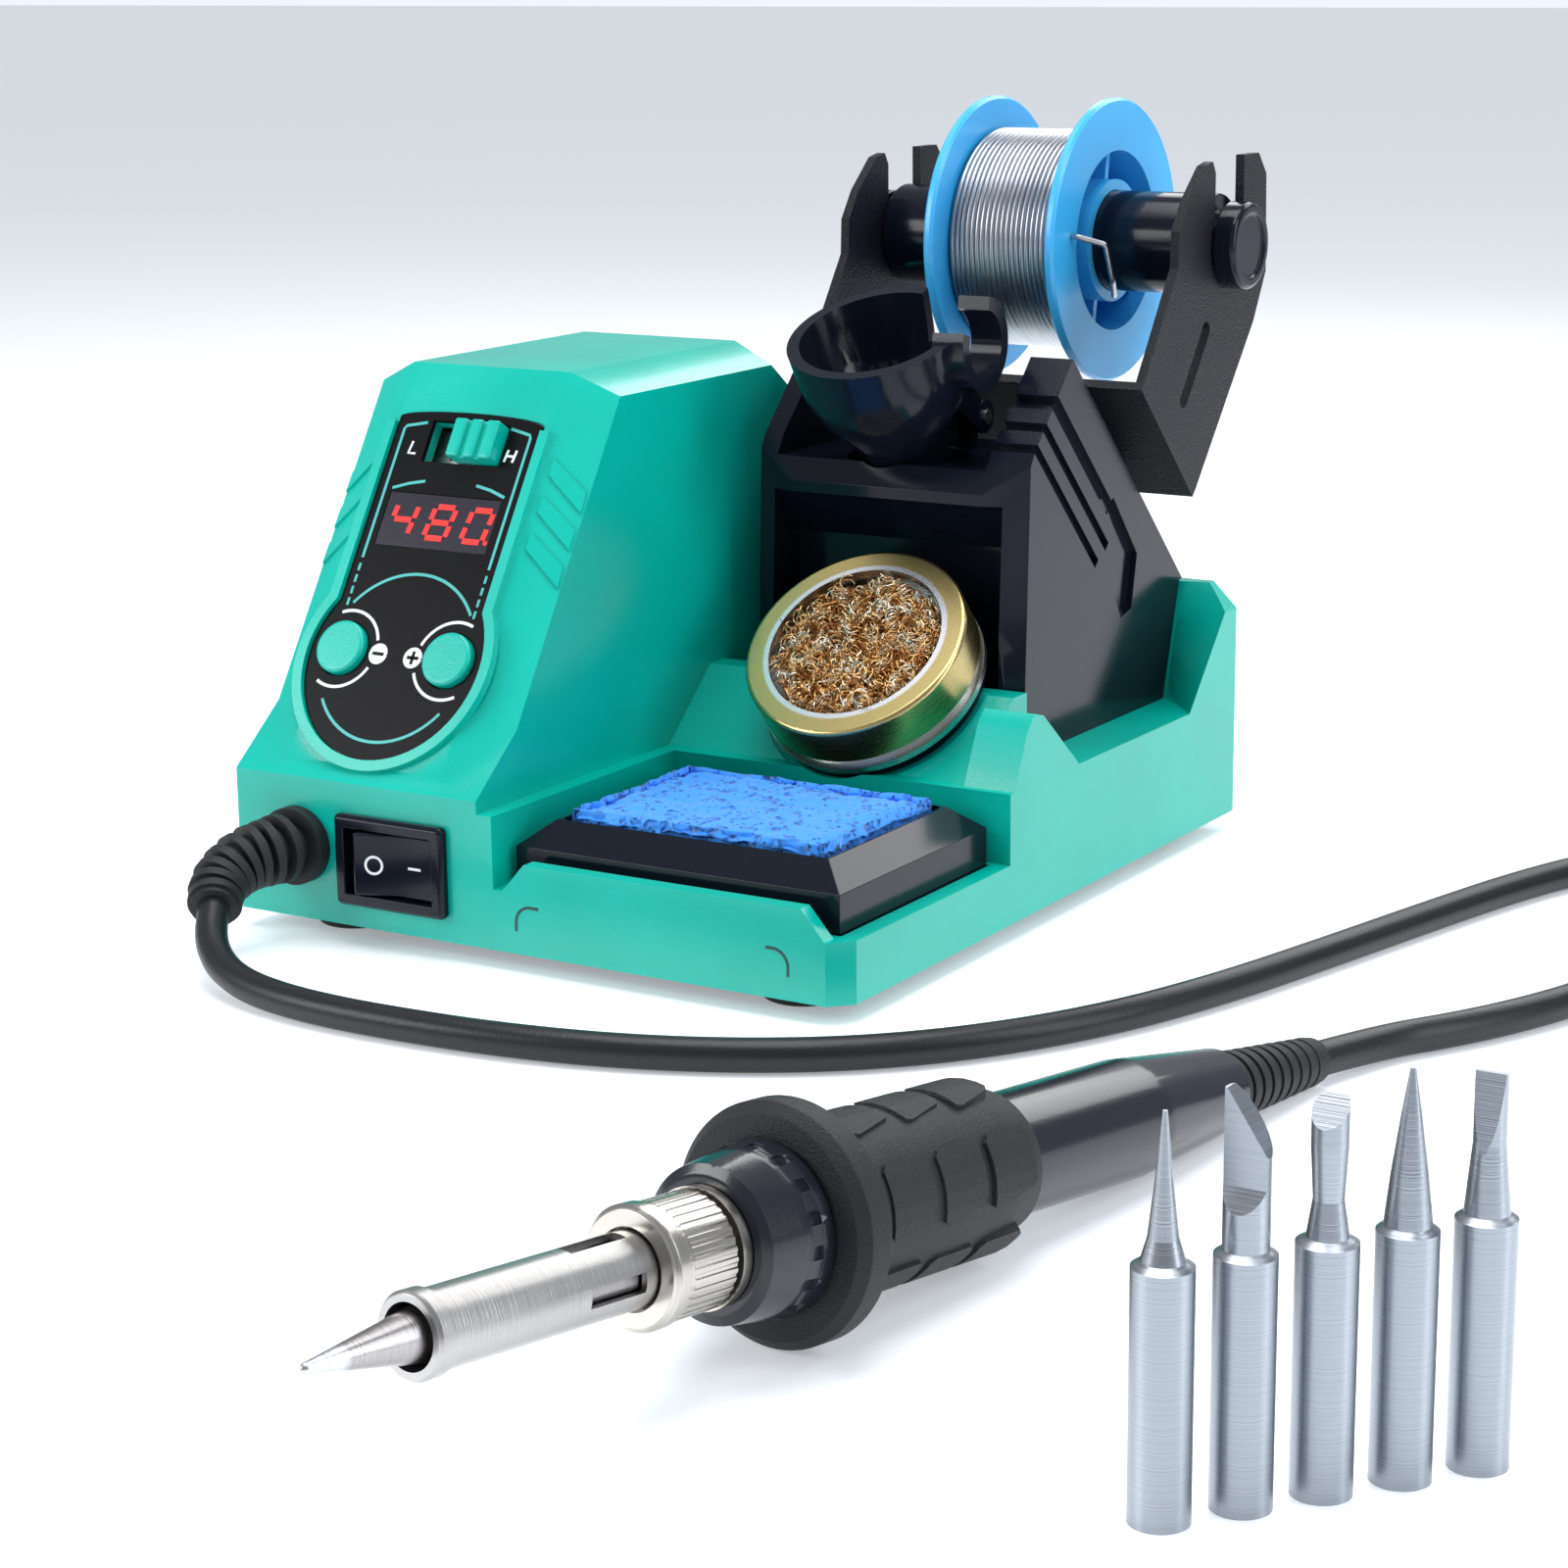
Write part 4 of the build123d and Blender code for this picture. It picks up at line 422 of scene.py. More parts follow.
finishes["floor"], tree, shader = new_material("floor")
shader.inputs["Base Color"].default_value = (0.93, 0.95, 0.98, 1)
shader.inputs["Roughness"].default_value = 0.22
shader.inputs["Specular IOR Level"].default_value = 0.3
shader.inputs["Emission Color"].default_value = (0.93, 0.96, 1.0, 1)
shader.inputs["Emission Strength"].default_value = 0.33  # a lit table, pale to its far edge
floor.data.materials.append(finishes["floor"])

# %% [markdown]
# Foam is full of holes of many sizes. Two layers of cells dent the surface and darken their pits as
# painted shade, and the mesh itself is roughened later, because a torn edge shows best in its outline.

# %% Foam
finishes["blue_sponge"], tree, shader = new_material("blue_sponge")
place = add(tree, "ShaderNodeTexCoord").outputs["Object"]
big = add(tree, "ShaderNodeTexVoronoi", {"Vector": place, "Scale": 330.0, "Randomness": 1.0})
small = add(tree, "ShaderNodeTexVoronoi", {"Vector": place, "Scale": 900.0, "Randomness": 1.0})
pits = add(tree, "ShaderNodeMath", {0: big.outputs["Distance"], 1: small.outputs["Distance"]},
           operation="MULTIPLY")
depth = add(tree, "ShaderNodeMapRange", {0: pits.outputs[0], 1: 0.0, 2: 0.16, 3: 0.0, 4: 1.0})
# the darker blue in the pits is painted shade in the foam's holes, not a darker foam
foam_colour_with_painted_pit_shade = add(tree, "ShaderNodeMix", {"Factor": depth.outputs[0], 6: (0.008, 0.10, 0.42, 1),
                                          7: (0.03, 0.27, 0.86, 1)}, data_type="RGBA")
bump = add(tree, "ShaderNodeBump", {"Strength": 0.9, "Distance": 0.0008, "Height": depth.outputs[0]})
tree.links.new(foam_colour_with_painted_pit_shade.outputs[2], shader.inputs["Base Color"])
tree.links.new(bump.outputs[0], shader.inputs["Normal"])
shader.inputs["Roughness"].default_value = 0.85
shader.inputs["Sheen Weight"].default_value = 0.2

# %% Give every CAD node its finish
for subpart in frame["record"]["subparts"]:
    node = frame["nodes"][subpart["node"]]
    chosen = finishes[subpart["material_slot"]]
    if subpart["node"] == "soldering_tip":
        chosen = finishes["tinned_tip"]
    node.data.materials.clear()
    node.data.materials.append(chosen)
iron_cord.data.materials.append(finishes["cord_pvc"])

# %% [markdown]
# ## Softened edges
# A moulding has no perfectly sharp edge, and the thin highlight along each edge is what makes it
# look real. A copy of each CAD mesh is merged, its flat triangles are joined into faces, and a
# Bevel modifier rounds what is left sharper than a third of a right angle. The copy stands for the
# CAD node, which stays for collision.

# %% Soften the visible mouldings
body_of_node = {n: b for b, nodes in frame["record"]["behaviour"]["bodies"].items() for n in nodes}


def soften(node_name, width, segments=2, angle=32):
    """A copy of a CAD node with its sharp edges rounded."""
    source = frame["nodes"][node_name]
    mesh = source.data.copy()
    bm = bmesh.new()
    bm.from_mesh(mesh)
    bmesh.ops.remove_doubles(bm, verts=bm.verts, dist=2e-6)
    bmesh.ops.dissolve_limit(bm, angle_limit=radians(0.6), verts=bm.verts, edges=bm.edges)
    for face in bm.faces:
        face.smooth = True
    bm.to_mesh(mesh)
    bm.free()
    made = bpy.data.objects.new(node_name + "_moulded", mesh)
    bpy.context.collection.objects.link(made)
    bevel = made.modifiers.new("rounded edges", "BEVEL")
    bevel.width, bevel.segments = width, segments
    bevel.limit_method, bevel.angle_limit = "ANGLE", radians(angle)
    bevel.miter_outer = "MITER_ARC"
    bevel.use_clamp_overlap = True
    weighted = made.modifiers.new("flat faces stay flat", "WEIGHTED_NORMAL")
    weighted.keep_sharp = False
    weighted.weight = 100
    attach(made, body_of_node[node_name])
    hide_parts(node_name)
    return made


SOFTENED = {"housing_shell": 0.0009, "holder_tower": 0.0004, "sponge_tray": 0.0006,
            "switch_bezel": 0.0004, "switch_rocker": 0.0004, "slider_knob": 0.0004,
            "spool_bracket": 0.00035, "spool": 0.0003, "spindle": 0.0004, "iron_funnel": 0.0004,
            "grip_sleeve": 0.0005, "iron_handle": 0.0003, "tip_shroud": 0.00025,
            "knurled_nut": 0.0002}
softened = {name: soften(name, width) for name, width in SOFTENED.items()}
print("softened:", {name: len(o.data.polygons) for name, o in softened.items()})

# %% [markdown]
# ## Printed marks
# The black overlay carries thin teal border lines and white arcs, and the front wall two dark
# corner marks. Ink is a film a few hundredths of a millimetre thick, so each mark is a thin ribbon
# that follows a short list of points on the surface it is printed on.

# %% Ribbons on a plane
HOUSING_W, HOUSING_TOP = 47.0, 86.5
PANEL_Y, PANEL_Z, PANEL_TOP_Y = 2.5, 28.0, 39.5
PANEL_ANGLE = atan2(HOUSING_TOP - PANEL_Z, PANEL_TOP_Y - PANEL_Y)
PANEL_UP = Vector((0, cos(PANEL_ANGLE), sin(PANEL_ANGLE)))
PANEL_OUT = Vector((0, -sin(PANEL_ANGLE), cos(PANEL_ANGLE)))
PANEL_FOOT = body(0, PANEL_Y, PANEL_Z)
INK = 0.04 * MM
OVERLAY_TOP = 0.3


def on_panel(x, s, h=OVERLAY_TOP):
    """A point x across the housing, s up its sloped panel and h above it, in millimetres."""
    return PANEL_FOOT + Vector((x * MM, 0, 0)) + PANEL_UP * s * MM + PANEL_OUT * h * MM


def arc(cx, cy, radius, start, end, steps=24):
    """Points of an arc, with angles in degrees."""
    angles = [radians(start + (end - start) * i / steps) for i in range(steps + 1)]
    return [(cx + radius * cos(a), cy + radius * sin(a)) for a in angles]


def ribbon(bm, points, width, to_place, thick=INK):
    """A flat strip along 2-D points, with the ink's thickness."""
    rows = []
    for i, (x, y) in enumerate(points):
        before, after = points[max(i - 1, 0)], points[min(i + 1, len(points) - 1)]
        run = Vector((after[0] - before[0], after[1] - before[1]))
        side = Vector((-run.y, run.x)).normalized() * width / 2
        normal = to_place(0, 0, 1) - to_place(0, 0, 0)
        normal = normal.normalized() * thick
        edges = [to_place(x + k * side.x, y + k * side.y, 0) for k in (-1, 1)]
        rows.append([bm.verts.new(p) for p in (edges[0], edges[1], edges[1] + normal,
                                               edges[0] + normal)])
    for first, second in zip(rows, rows[1:]):
        for k in range(4):
            bm.faces.new((first[k], first[(k + 1) % 4], second[(k + 1) % 4], second[k]))
    bm.faces.new(rows[0][::-1])
    bm.faces.new(rows[-1])


def disc(bm, cx, cy, radius, to_place, thick=INK, hole=0.0, steps=40):
    """A round spot of ink."""
    ribbon(bm, arc(cx, cy, (radius + hole) / 2, 0, 360, steps), radius - hole, to_place, thick)


def ink_piece(name, finish, rides, draw):
    """A printed piece: draw(bm) fills its mesh."""
    bm = bmesh.new()
    draw(bm)
    bmesh.ops.recalc_face_normals(bm, faces=bm.faces)
    mesh = bpy.data.meshes.new(name)
    bm.to_mesh(mesh)
    bm.free()
    mesh.materials.append(finishes[finish])
    made = bpy.data.objects.new(name, mesh)
    bpy.context.collection.objects.link(made)
    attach(made, rides)
    return made


# %% Overlay print
DIAL_X, DIAL_S = 23.1, 18.0
BORDER = 12.45                     # from the dial's centre line to each border line
LEFT_X, RIGHT_X = DIAL_X - BORDER, DIAL_X + BORDER
LINE = 0.5


def panel_ink(x, s, h=0):
    return on_panel(x, s, OVERLAY_TOP + h * INK / MM)


def draw_teal(bm):
    for side, edge in ((1, LEFT_X), (-1, RIGHT_X)):
        ribbon(bm, [(edge, 34.6), (edge, 57.3), (edge + side * 0.3, 57.8), (edge + side * 4.2, 58.6)],
               LINE, panel_ink)
        for dash in range(4):
            foot = 33.6 - 2.0 * dash
            ribbon(bm, [(edge, foot - 1.3), (edge, foot)], LINE * 0.9, panel_ink)
        inner = edge + side * 1.4
        brow = [(inner, 46.9), (inner + side * 3.0, 47.9), (inner + side * 6.0, 48.5)]
        ribbon(bm, brow, LINE, panel_ink)
    ribbon(bm, arc(DIAL_X + 0.2, DIAL_S + 0.4, 14.3, 36, 144), LINE, panel_ink)
    ribbon(bm, arc(DIAL_X + 0.2, DIAL_S + 0.4, 14.1, 215, 325), LINE, panel_ink)


def draw_white(bm):
    for side in (-1, 1):
        centre_x, centre_s = DIAL_X + side * 10.45, DIAL_S + 1.0
        first, second = ((18, 112), (242, 336)) if side < 0 else ((68, 162), (204, 298))
        for start, end in (first, second):
            ribbon(bm, arc(centre_x, centre_s, 6.5, start, end), LINE, panel_ink)
        disc(bm, DIAL_X + side * 3.4, centre_s - 0.2, 1.75, panel_ink)
    ribbon(bm, [(13.2, 55.2), (12.9, 53.1), (14.3, 53.1)], 0.42, panel_ink)
    for x in (31.9, 33.5):
        ribbon(bm, [(x, 52.9), (x + 0.25, 55.0)], 0.45, panel_ink)
    ribbon(bm, [(32.0, 53.95), (33.6, 53.95)], 0.4, panel_ink)


def draw_signs(bm):
    def above(x, s, h=0):
        return panel_ink(x, s, h + 1)
    for side in (-1, 1):
        x, s = DIAL_X + side * 3.4, DIAL_S + 0.8
        ribbon(bm, [(x - 1.1, s), (x + 1.1, s)], 0.55, above)
        if side > 0:
            ribbon(bm, [(x, s - 1.1), (x, s + 1.1)], 0.55, above)


ink_piece("overlay_lines", "teal_ink", "station", draw_teal)
ink_piece("overlay_arcs", "white_ink", "station", draw_white)
ink_piece("overlay_signs", "overlay_film", "station", draw_signs)

# %% [markdown]
# The display is a red seven-segment module behind a dark window. Each digit is drawn from seven
# bars, leaning a little, and lit by its own emission.

# %% Display digits
DIGITS = {"4": "bcfg", "8": "abcdefg", "0": "abcdef"}
BARS = {"a": ((0, 2), (1, 2)), "b": ((1, 2), (1, 1)), "c": ((1, 1), (1, 0)), "d": ((0, 0), (1, 0)),
        "e": ((0, 0), (0, 1)), "f": ((0, 1), (0, 2)), "g": ((0, 1), (1, 1))}
DIGIT_W, DIGIT_H, BAR_W, LEAN = 4.1, 2.7, 0.95, 0.14
WINDOW_X, WINDOW_S = DIAL_X - 0.2, 41.7


def draw_digits(bm):
    for place_at, digit in zip((-9.3, -1.9, 5.4), "480"):
        x0, s0 = WINDOW_X + place_at, WINDOW_S - DIGIT_H
        for bar in DIGITS[digit]:
            (x1, s1), (x2, s2) = BARS[bar]
            first = Vector((x0 + x1 * DIGIT_W, s0 + s1 * DIGIT_H))
            last = Vector((x0 + x2 * DIGIT_W, s0 + s2 * DIGIT_H))
            trim = (last - first).normalized() * 0.42
            ends = [first + trim, last - trim]
            ribbon(bm, [(p.x + LEAN * (p.y - s0), p.y) for p in ends], BAR_W,
                   lambda x, s, h=0: on_panel(x, s, 0.24 + h * INK / MM))
    disc(bm, WINDOW_X + 10.3, WINDOW_S - DIGIT_H, 0.42,
         lambda x, s, h=0: on_panel(x, s, 0.24 + h * INK / MM), steps=16)


ink_piece("display_digits", "display_glow", "station", draw_digits)


# %% Corner marks on the front wall
def on_front(x, z, h=0):
    return body(x, 0, z) + Vector((0, -1, 0)) * (0.01 * MM + h * INK)


def draw_corners(bm):
    ribbon(bm, [(54.0, 6.6)] + arc(56.6, 8.0, 2.6, 180, 90, 10) + [(58.2, 10.6)], 0.45, on_front)
    ribbon(bm, [(98.6, 10.6)] + arc(99.8, 8.0, 2.6, 90, 0, 10) + [(102.4, 6.6)], 0.45, on_front)


ink_piece("corner_marks", "dark_ink", "station", draw_corners)

# %% Switch symbols
# The rocker's face is a shallow V, turned about its pivot; each mark lies on its own half.
ROCKER_TILT = radians(9.0)
ROCKER_AT = body(30.8, 5.5, 14.0)
ROCKER_HALF, ROCKER_VALLEY, ROCKER_CREST = 7.0, 6.2, 7.3


def on_rocker(side):
    """Places 2-D points on one half of the rocker's face."""
    first = Vector((0, -ROCKER_VALLEY, 0))
    last = Vector((ROCKER_HALF * side, -ROCKER_CREST, 0))
    along_face = (last - first).normalized()
    out = Vector((along_face.y, -along_face.x, 0)) * side
    turn = Matrix.Rotation(ROCKER_TILT, 3, "Z")

    def to_place(u, v, h=0):
        local = first + along_face * u + out * (0.02 + h * INK / MM)
        return ROCKER_AT + (turn @ local + Vector((0, 0, v))) * MM
    return to_place


def draw_switch(bm):
    disc(bm, 3.6, 0, 1.55, on_rocker(-1), hole=1.15)
    ribbon(bm, [(2.4, 0), (4.8, 0)], 0.4, on_rocker(1))


ink_piece("switch_marks", "white_ink", "rocker", draw_switch)
print("printed pieces done")

# %% [markdown]
# ## Geometry Nodes
# Things that repeat by a rule come from node trees: the wound wire is a spiral with a round
# profile, and the wool is a handful of curls scattered over a dome. Each tree has named inputs, a
# fixed seed and ends in real geometry with its material set, which is then made a plain mesh.


# %% Tree helpers
def geometry_tree(name, inputs):
    """A Geometry Nodes tree with named inputs and one geometry output."""
    return group_tree(name, "GeometryNodeTree", inputs, [("Geometry", "NodeSocketGeometry")])


def grow(name, tree, values, finish, rides, matrix=Matrix.Identity(4), seed_mesh=None):
    """Runs a tree once with its values, and keeps the result as a plain mesh at the origin."""
    seed_mesh = seed_mesh or bpy.data.meshes.new(name)
    holder = bpy.data.objects.new(name + "_tree", seed_mesh)
    bpy.context.collection.objects.link(holder)
    modifier = holder.modifiers.new("tree", "NODES")
    modifier.node_group = tree
    sockets = {item.name: item.identifier for item in tree.interface.items_tree
               if item.item_type == "SOCKET" and item.in_out == "INPUT"}
    for label, value in {**values, "Finish": finishes[finish]}.items():
        modifier[sockets[label]] = value
    holder.update_tag()
    bpy.context.view_layer.update()
    mesh = bpy.data.meshes.new_from_object(holder.evaluated_get(bpy.context.evaluated_depsgraph_get()))
    bpy.data.objects.remove(holder)
    mesh.transform(matrix)
    made = bpy.data.objects.new(name, mesh)
    bpy.context.collection.objects.link(made)
    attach(made, rides)
    print(name, len(mesh.polygons), "faces")
    return made


# %% Wound solder
winding, w_in, w_out = geometry_tree("wound wire", [
    ("Turns", NUMBER, 22.0), ("Radius", NUMBER, 0.018), ("Width", NUMBER, 0.02),
    ("Wire", NUMBER, 0.0005), ("Finish", "NodeSocketMaterial")])
helix = add(winding, "GeometryNodeCurveSpiral", {
    "Resolution": 64, "Rotations": w_in.outputs["Turns"], "Start Radius": w_in.outputs["Radius"],
    "End Radius": w_in.outputs["Radius"], "Height": w_in.outputs["Width"]})
profile = add(winding, "GeometryNodeCurvePrimitiveCircle", {"Resolution": 10,
                                                            "Radius": w_in.outputs["Wire"]})
wire = add(winding, "GeometryNodeCurveToMesh", {"Curve": helix.outputs[0],
                                                "Profile Curve": profile.outputs[0],
                                                "Fill Caps": True})
inside = add(winding, "ShaderNodeMath", {0: w_in.outputs["Radius"], 1: 0.0001}, operation="SUBTRACT")
under = add(winding, "GeometryNodeMeshCylinder", {
    "Vertices": 64, "Radius": inside.outputs[0], "Depth": w_in.outputs["Width"]}, fill_type="NONE")
half = add(winding, "ShaderNodeMath", {0: w_in.outputs["Width"], 1: 0.5}, operation="MULTIPLY")
lift = add(winding, "ShaderNodeCombineXYZ", {"Z": half.outputs[0]})
under = add(winding, "GeometryNodeTransform", {"Geometry": under.outputs["Mesh"],
                                               "Translation": lift.outputs[0]})
both = add(winding, "GeometryNodeJoinGeometry")
winding.links.new(wire.outputs[0], both.inputs[0])
winding.links.new(under.outputs[0], both.inputs[0])
real = add(winding, "GeometryNodeRealizeInstances", {"Geometry": both.outputs[0]})
smooth = add(winding, "GeometryNodeSetShadeSmooth", {"Geometry": real.outputs[0]})
painted = add(winding, "GeometryNodeSetMaterial", {"Geometry": smooth.outputs[0],
                                                   "Material": w_in.outputs["Finish"]})
winding.links.new(painted.outputs[0], w_out.inputs[0])

wound_low, wound_high = (Vector(c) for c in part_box("solder_winding"))
wire_r = 0.00048
wound_r = (wound_high.z - wound_low.z) / 2 - wire_r
wound_w = wound_high.x - wound_low.x - 2 * wire_r
sideways = (Matrix.Translation(Vector((wound_low.x + wire_r, (wound_low.y + wound_high.y) / 2,
                                       (wound_low.z + wound_high.z) / 2)))
            @ Matrix.Rotation(pi / 2, 4, "Y"))
solder = grow("solder_wound", winding, {"Turns": 21.0, "Radius": wound_r, "Width": wound_w,
                                        "Wire": wire_r}, "solder_wire", "spool_unit",
              sideways)
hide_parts("solder_winding")

# %% Curled brass wool
wool, wool_in, wool_out = geometry_tree("curled wool", [
    ("Count", "NodeSocketInt", 400), ("Radius", NUMBER, 0.013), ("Curl", NUMBER, 0.0016),
    ("Thread", NUMBER, 0.00011), ("Height", NUMBER, 0.003), ("Seed", "NodeSocketInt", 7),
    ("Finish", "NodeSocketMaterial")])
field = add(wool, "GeometryNodeMeshCircle", {"Vertices": 48, "Radius": wool_in.outputs["Radius"]},
            fill_type="NGON")
# the density is the count over the area of the disc
area = add(wool, "ShaderNodeMath", {0: wool_in.outputs["Radius"], 1: wool_in.outputs["Radius"]},
           operation="MULTIPLY")
area = add(wool, "ShaderNodeMath", {0: area.outputs[0], 1: pi}, operation="MULTIPLY")
density = add(wool, "ShaderNodeMath", {0: wool_in.outputs["Count"], 1: area.outputs[0]},
              operation="DIVIDE")
points = add(wool, "GeometryNodeDistributePointsOnFaces", {
    "Mesh": field.outputs[0], "Density": density.outputs[0], "Seed": wool_in.outputs["Seed"]})
rise = add(wool, "FunctionNodeRandomValue", {"Seed": wool_in.outputs["Seed"]}, data_type="FLOAT")
rise = add(wool, "ShaderNodeMath", {0: rise.outputs[1], 1: wool_in.outputs["Height"]},
           operation="MULTIPLY")
rise = add(wool, "ShaderNodeCombineXYZ", {"Z": rise.outputs[0]})
raised = add(wool, "GeometryNodeSetPosition", {"Geometry": points.outputs["Points"],
                                               "Offset": rise.outputs[0]})
curl = add(wool, "GeometryNodeCurveSpiral", {
    "Resolution": 8, "Rotations": 1.7, "Start Radius": wool_in.outputs["Curl"],
    "End Radius": wool_in.outputs["Curl"], "Height": 0.0022})
strip = add(wool, "GeometryNodeCurvePrimitiveCircle", {"Resolution": 3,
                                                       "Radius": wool_in.outputs["Thread"]})
curl = add(wool, "GeometryNodeCurveToMesh", {"Curve": curl.outputs[0],
                                             "Profile Curve": strip.outputs[0]})
turn = add(wool, "FunctionNodeRandomValue", {"Max": (6.28, 6.28, 6.28),
                                             "Seed": wool_in.outputs["Seed"]},
           data_type="FLOAT_VECTOR")
turn = add(wool, "FunctionNodeEulerToRotation", {0: turn.outputs[0]})
size = add(wool, "FunctionNodeRandomValue", {2: 0.55, 3: 1.15}, data_type="FLOAT")
scattered = add(wool, "GeometryNodeInstanceOnPoints", {
    "Points": raised.outputs[0], "Instance": curl.outputs[0], "Rotation": turn.outputs[0],
    "Scale": size.outputs[1]})
real = add(wool, "GeometryNodeRealizeInstances", {"Geometry": scattered.outputs[0]})
smooth = add(wool, "GeometryNodeSetShadeSmooth", {"Geometry": real.outputs[0]})
painted = add(wool, "GeometryNodeSetMaterial", {"Geometry": smooth.outputs[0],
                                                "Material": wool_in.outputs["Finish"]})
wool.links.new(painted.outputs[0], wool_out.inputs[0])

into_tin = Matrix.Translation(LID_CENTRE - TIN_AXIS * 3.6 * MM) @ Matrix.Rotation(TIN_TILT, 4, "X")
grow("wool_curls", wool, {"Count": 1500, "Radius": 0.0131, "Curl": 0.00115, "Thread": 0.00013,
                          "Height": 0.0030, "Seed": 7}, "brass_curls", "tin", into_tin)

# %% The wool's bed
# Under the curls lies a crumpled mass of the same metal, a disc pushed up and down by noise.
bed = bmesh.new()
bmesh.ops.create_circle(bed, cap_ends=True, segments=72, radius=0.0138)
bmesh.ops.triangulate(bed, faces=bed.faces)
bmesh.ops.subdivide_edges(bed, edges=bed.edges, cuts=6, use_grid_fill=True)
for vertex in bed.verts:
    wave = noise.noise(vertex.co * 900) + 0.6 * noise.noise(vertex.co * 2300)
    vertex.co.z += 0.0009 * wave
skirt = bmesh.ops.extrude_face_region(bed, geom=bed.faces[:])
for item in skirt["geom"]:
    if isinstance(item, bmesh.types.BMVert):
        item.co.z = -0.0055
bmesh.ops.recalc_face_normals(bed, faces=bed.faces)
bed_mesh = bpy.data.meshes.new("wool_bed")
bed.to_mesh(bed_mesh)
bed.free()
bed_mesh.transform(into_tin)
bed_mesh.materials.append(finishes["brass_curls"])
wool_bed = bpy.data.objects.new("wool_bed", bed_mesh)
bpy.context.collection.objects.link(wool_bed)
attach(wool_bed, "tin")
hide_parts("brass_wool")

# %% [markdown]
# ## Raised marks on the housing and the grip
# Both long bevels of the housing carry three slanted raised bars, and the rubber grip three pads in
# a row, repeated round it. One tree serves both: it copies a given pad along a line and round an
# axis. The pad itself is a few bevelled faces, bent round the grip where it lies on it.

# %% A tree that repeats a pad
repeat, r_in, r_out = geometry_tree("pads along and around", [
    ("Pad", "NodeSocketGeometry"), ("Along", "NodeSocketInt", 3), ("Around", "NodeSocketInt", 1),
    ("Pitch", NUMBER, 0.01), ("Finish", "NodeSocketMaterial")])
total = add(repeat, "ShaderNodeMath", {0: r_in.outputs["Along"], 1: r_in.outputs["Around"]},
            operation="MULTIPLY")
dots = add(repeat, "GeometryNodeMeshLine", {"Offset": (0, 0, 0)})
repeat.links.new(total.outputs[0], dots.inputs["Count"])
number = add(repeat, "GeometryNodeInputIndex").outputs[0]
column = add(repeat, "ShaderNodeMath", {0: number, 1: r_in.outputs["Along"]}, operation="MODULO")
row = add(repeat, "ShaderNodeMath", {0: number, 1: r_in.outputs["Along"]}, operation="DIVIDE")
row = add(repeat, "ShaderNodeMath", {0: row.outputs[0]}, operation="FLOOR")
step_x = add(repeat, "ShaderNodeMath", {0: column.outputs[0], 1: r_in.outputs["Pitch"]},
             operation="MULTIPLY")
step_x = add(repeat, "ShaderNodeCombineXYZ", {"X": step_x.outputs[0]})
angle_each = add(repeat, "ShaderNodeMath", {0: 2 * pi, 1: r_in.outputs["Around"]}, operation="DIVIDE")
angle = add(repeat, "ShaderNodeMath", {0: row.outputs[0], 1: angle_each.outputs[0]},
            operation="MULTIPLY")
angle = add(repeat, "ShaderNodeCombineXYZ", {"X": angle.outputs[0]})
angle = add(repeat, "FunctionNodeEulerToRotation", {0: angle.outputs[0]})
spaced = add(repeat, "GeometryNodeSetPosition", {"Geometry": dots.outputs[0],
                                                 "Offset": step_x.outputs[0]})
placed = add(repeat, "GeometryNodeInstanceOnPoints", {
    "Points": spaced.outputs[0], "Instance": r_in.outputs["Pad"], "Rotation": angle.outputs[0]})
real = add(repeat, "GeometryNodeRealizeInstances", {"Geometry": placed.outputs[0]})
smooth = add(repeat, "GeometryNodeSetShadeSmooth", {"Geometry": real.outputs[0],
                                                    "Shade Smooth": False})
painted = add(repeat, "GeometryNodeSetMaterial", {"Geometry": smooth.outputs[0],
                                                  "Material": r_in.outputs["Finish"]})
repeat.links.new(painted.outputs[0], r_out.inputs[0])


def pad_mesh(name, outline, low, high, draft=0.3, wrap=None, cuts=0):
    """A raised pad over a convex 2-D outline in millimetres, narrower at its top by the draft."""
    bm = bmesh.new()
    centre = Vector((sum(p[0] for p in outline), sum(p[1] for p in outline))) / len(outline)
    foot = [bm.verts.new((x, y, low)) for x, y in outline]
    head = []
    for x, y in outline:
        inward = (centre - Vector((x, y))).normalized() * draft
        head.append(bm.verts.new((x + inward.x, y + inward.y, high)))
    count = len(outline)
    for k in range(count):
        bm.faces.new((foot[k], foot[(k + 1) % count], head[(k + 1) % count], head[k]))
    bm.faces.new(head)
    bm.faces.new(foot[::-1])
    if cuts:
        for k in range(1, cuts):
            lowest, highest = min(p[1] for p in outline), max(p[1] for p in outline)
            at = lowest + (highest - lowest) * k / cuts
            bmesh.ops.bisect_plane(bm, geom=bm.verts[:] + bm.edges[:] + bm.faces[:],
                                   plane_co=(0, at, 0), plane_no=(0, 1, 0))
    for vertex in bm.verts:
        if wrap:
            turn_by = vertex.co.y / wrap
            radius = wrap + vertex.co.z
            vertex.co = Vector((vertex.co.x, radius * sin(turn_by), radius * cos(turn_by)))
        vertex.co *= MM
    bmesh.ops.recalc_face_normals(bm, faces=bm.faces)
    mesh = bpy.data.meshes.new(name)
    bm.to_mesh(mesh)
    bm.free()
    return mesh


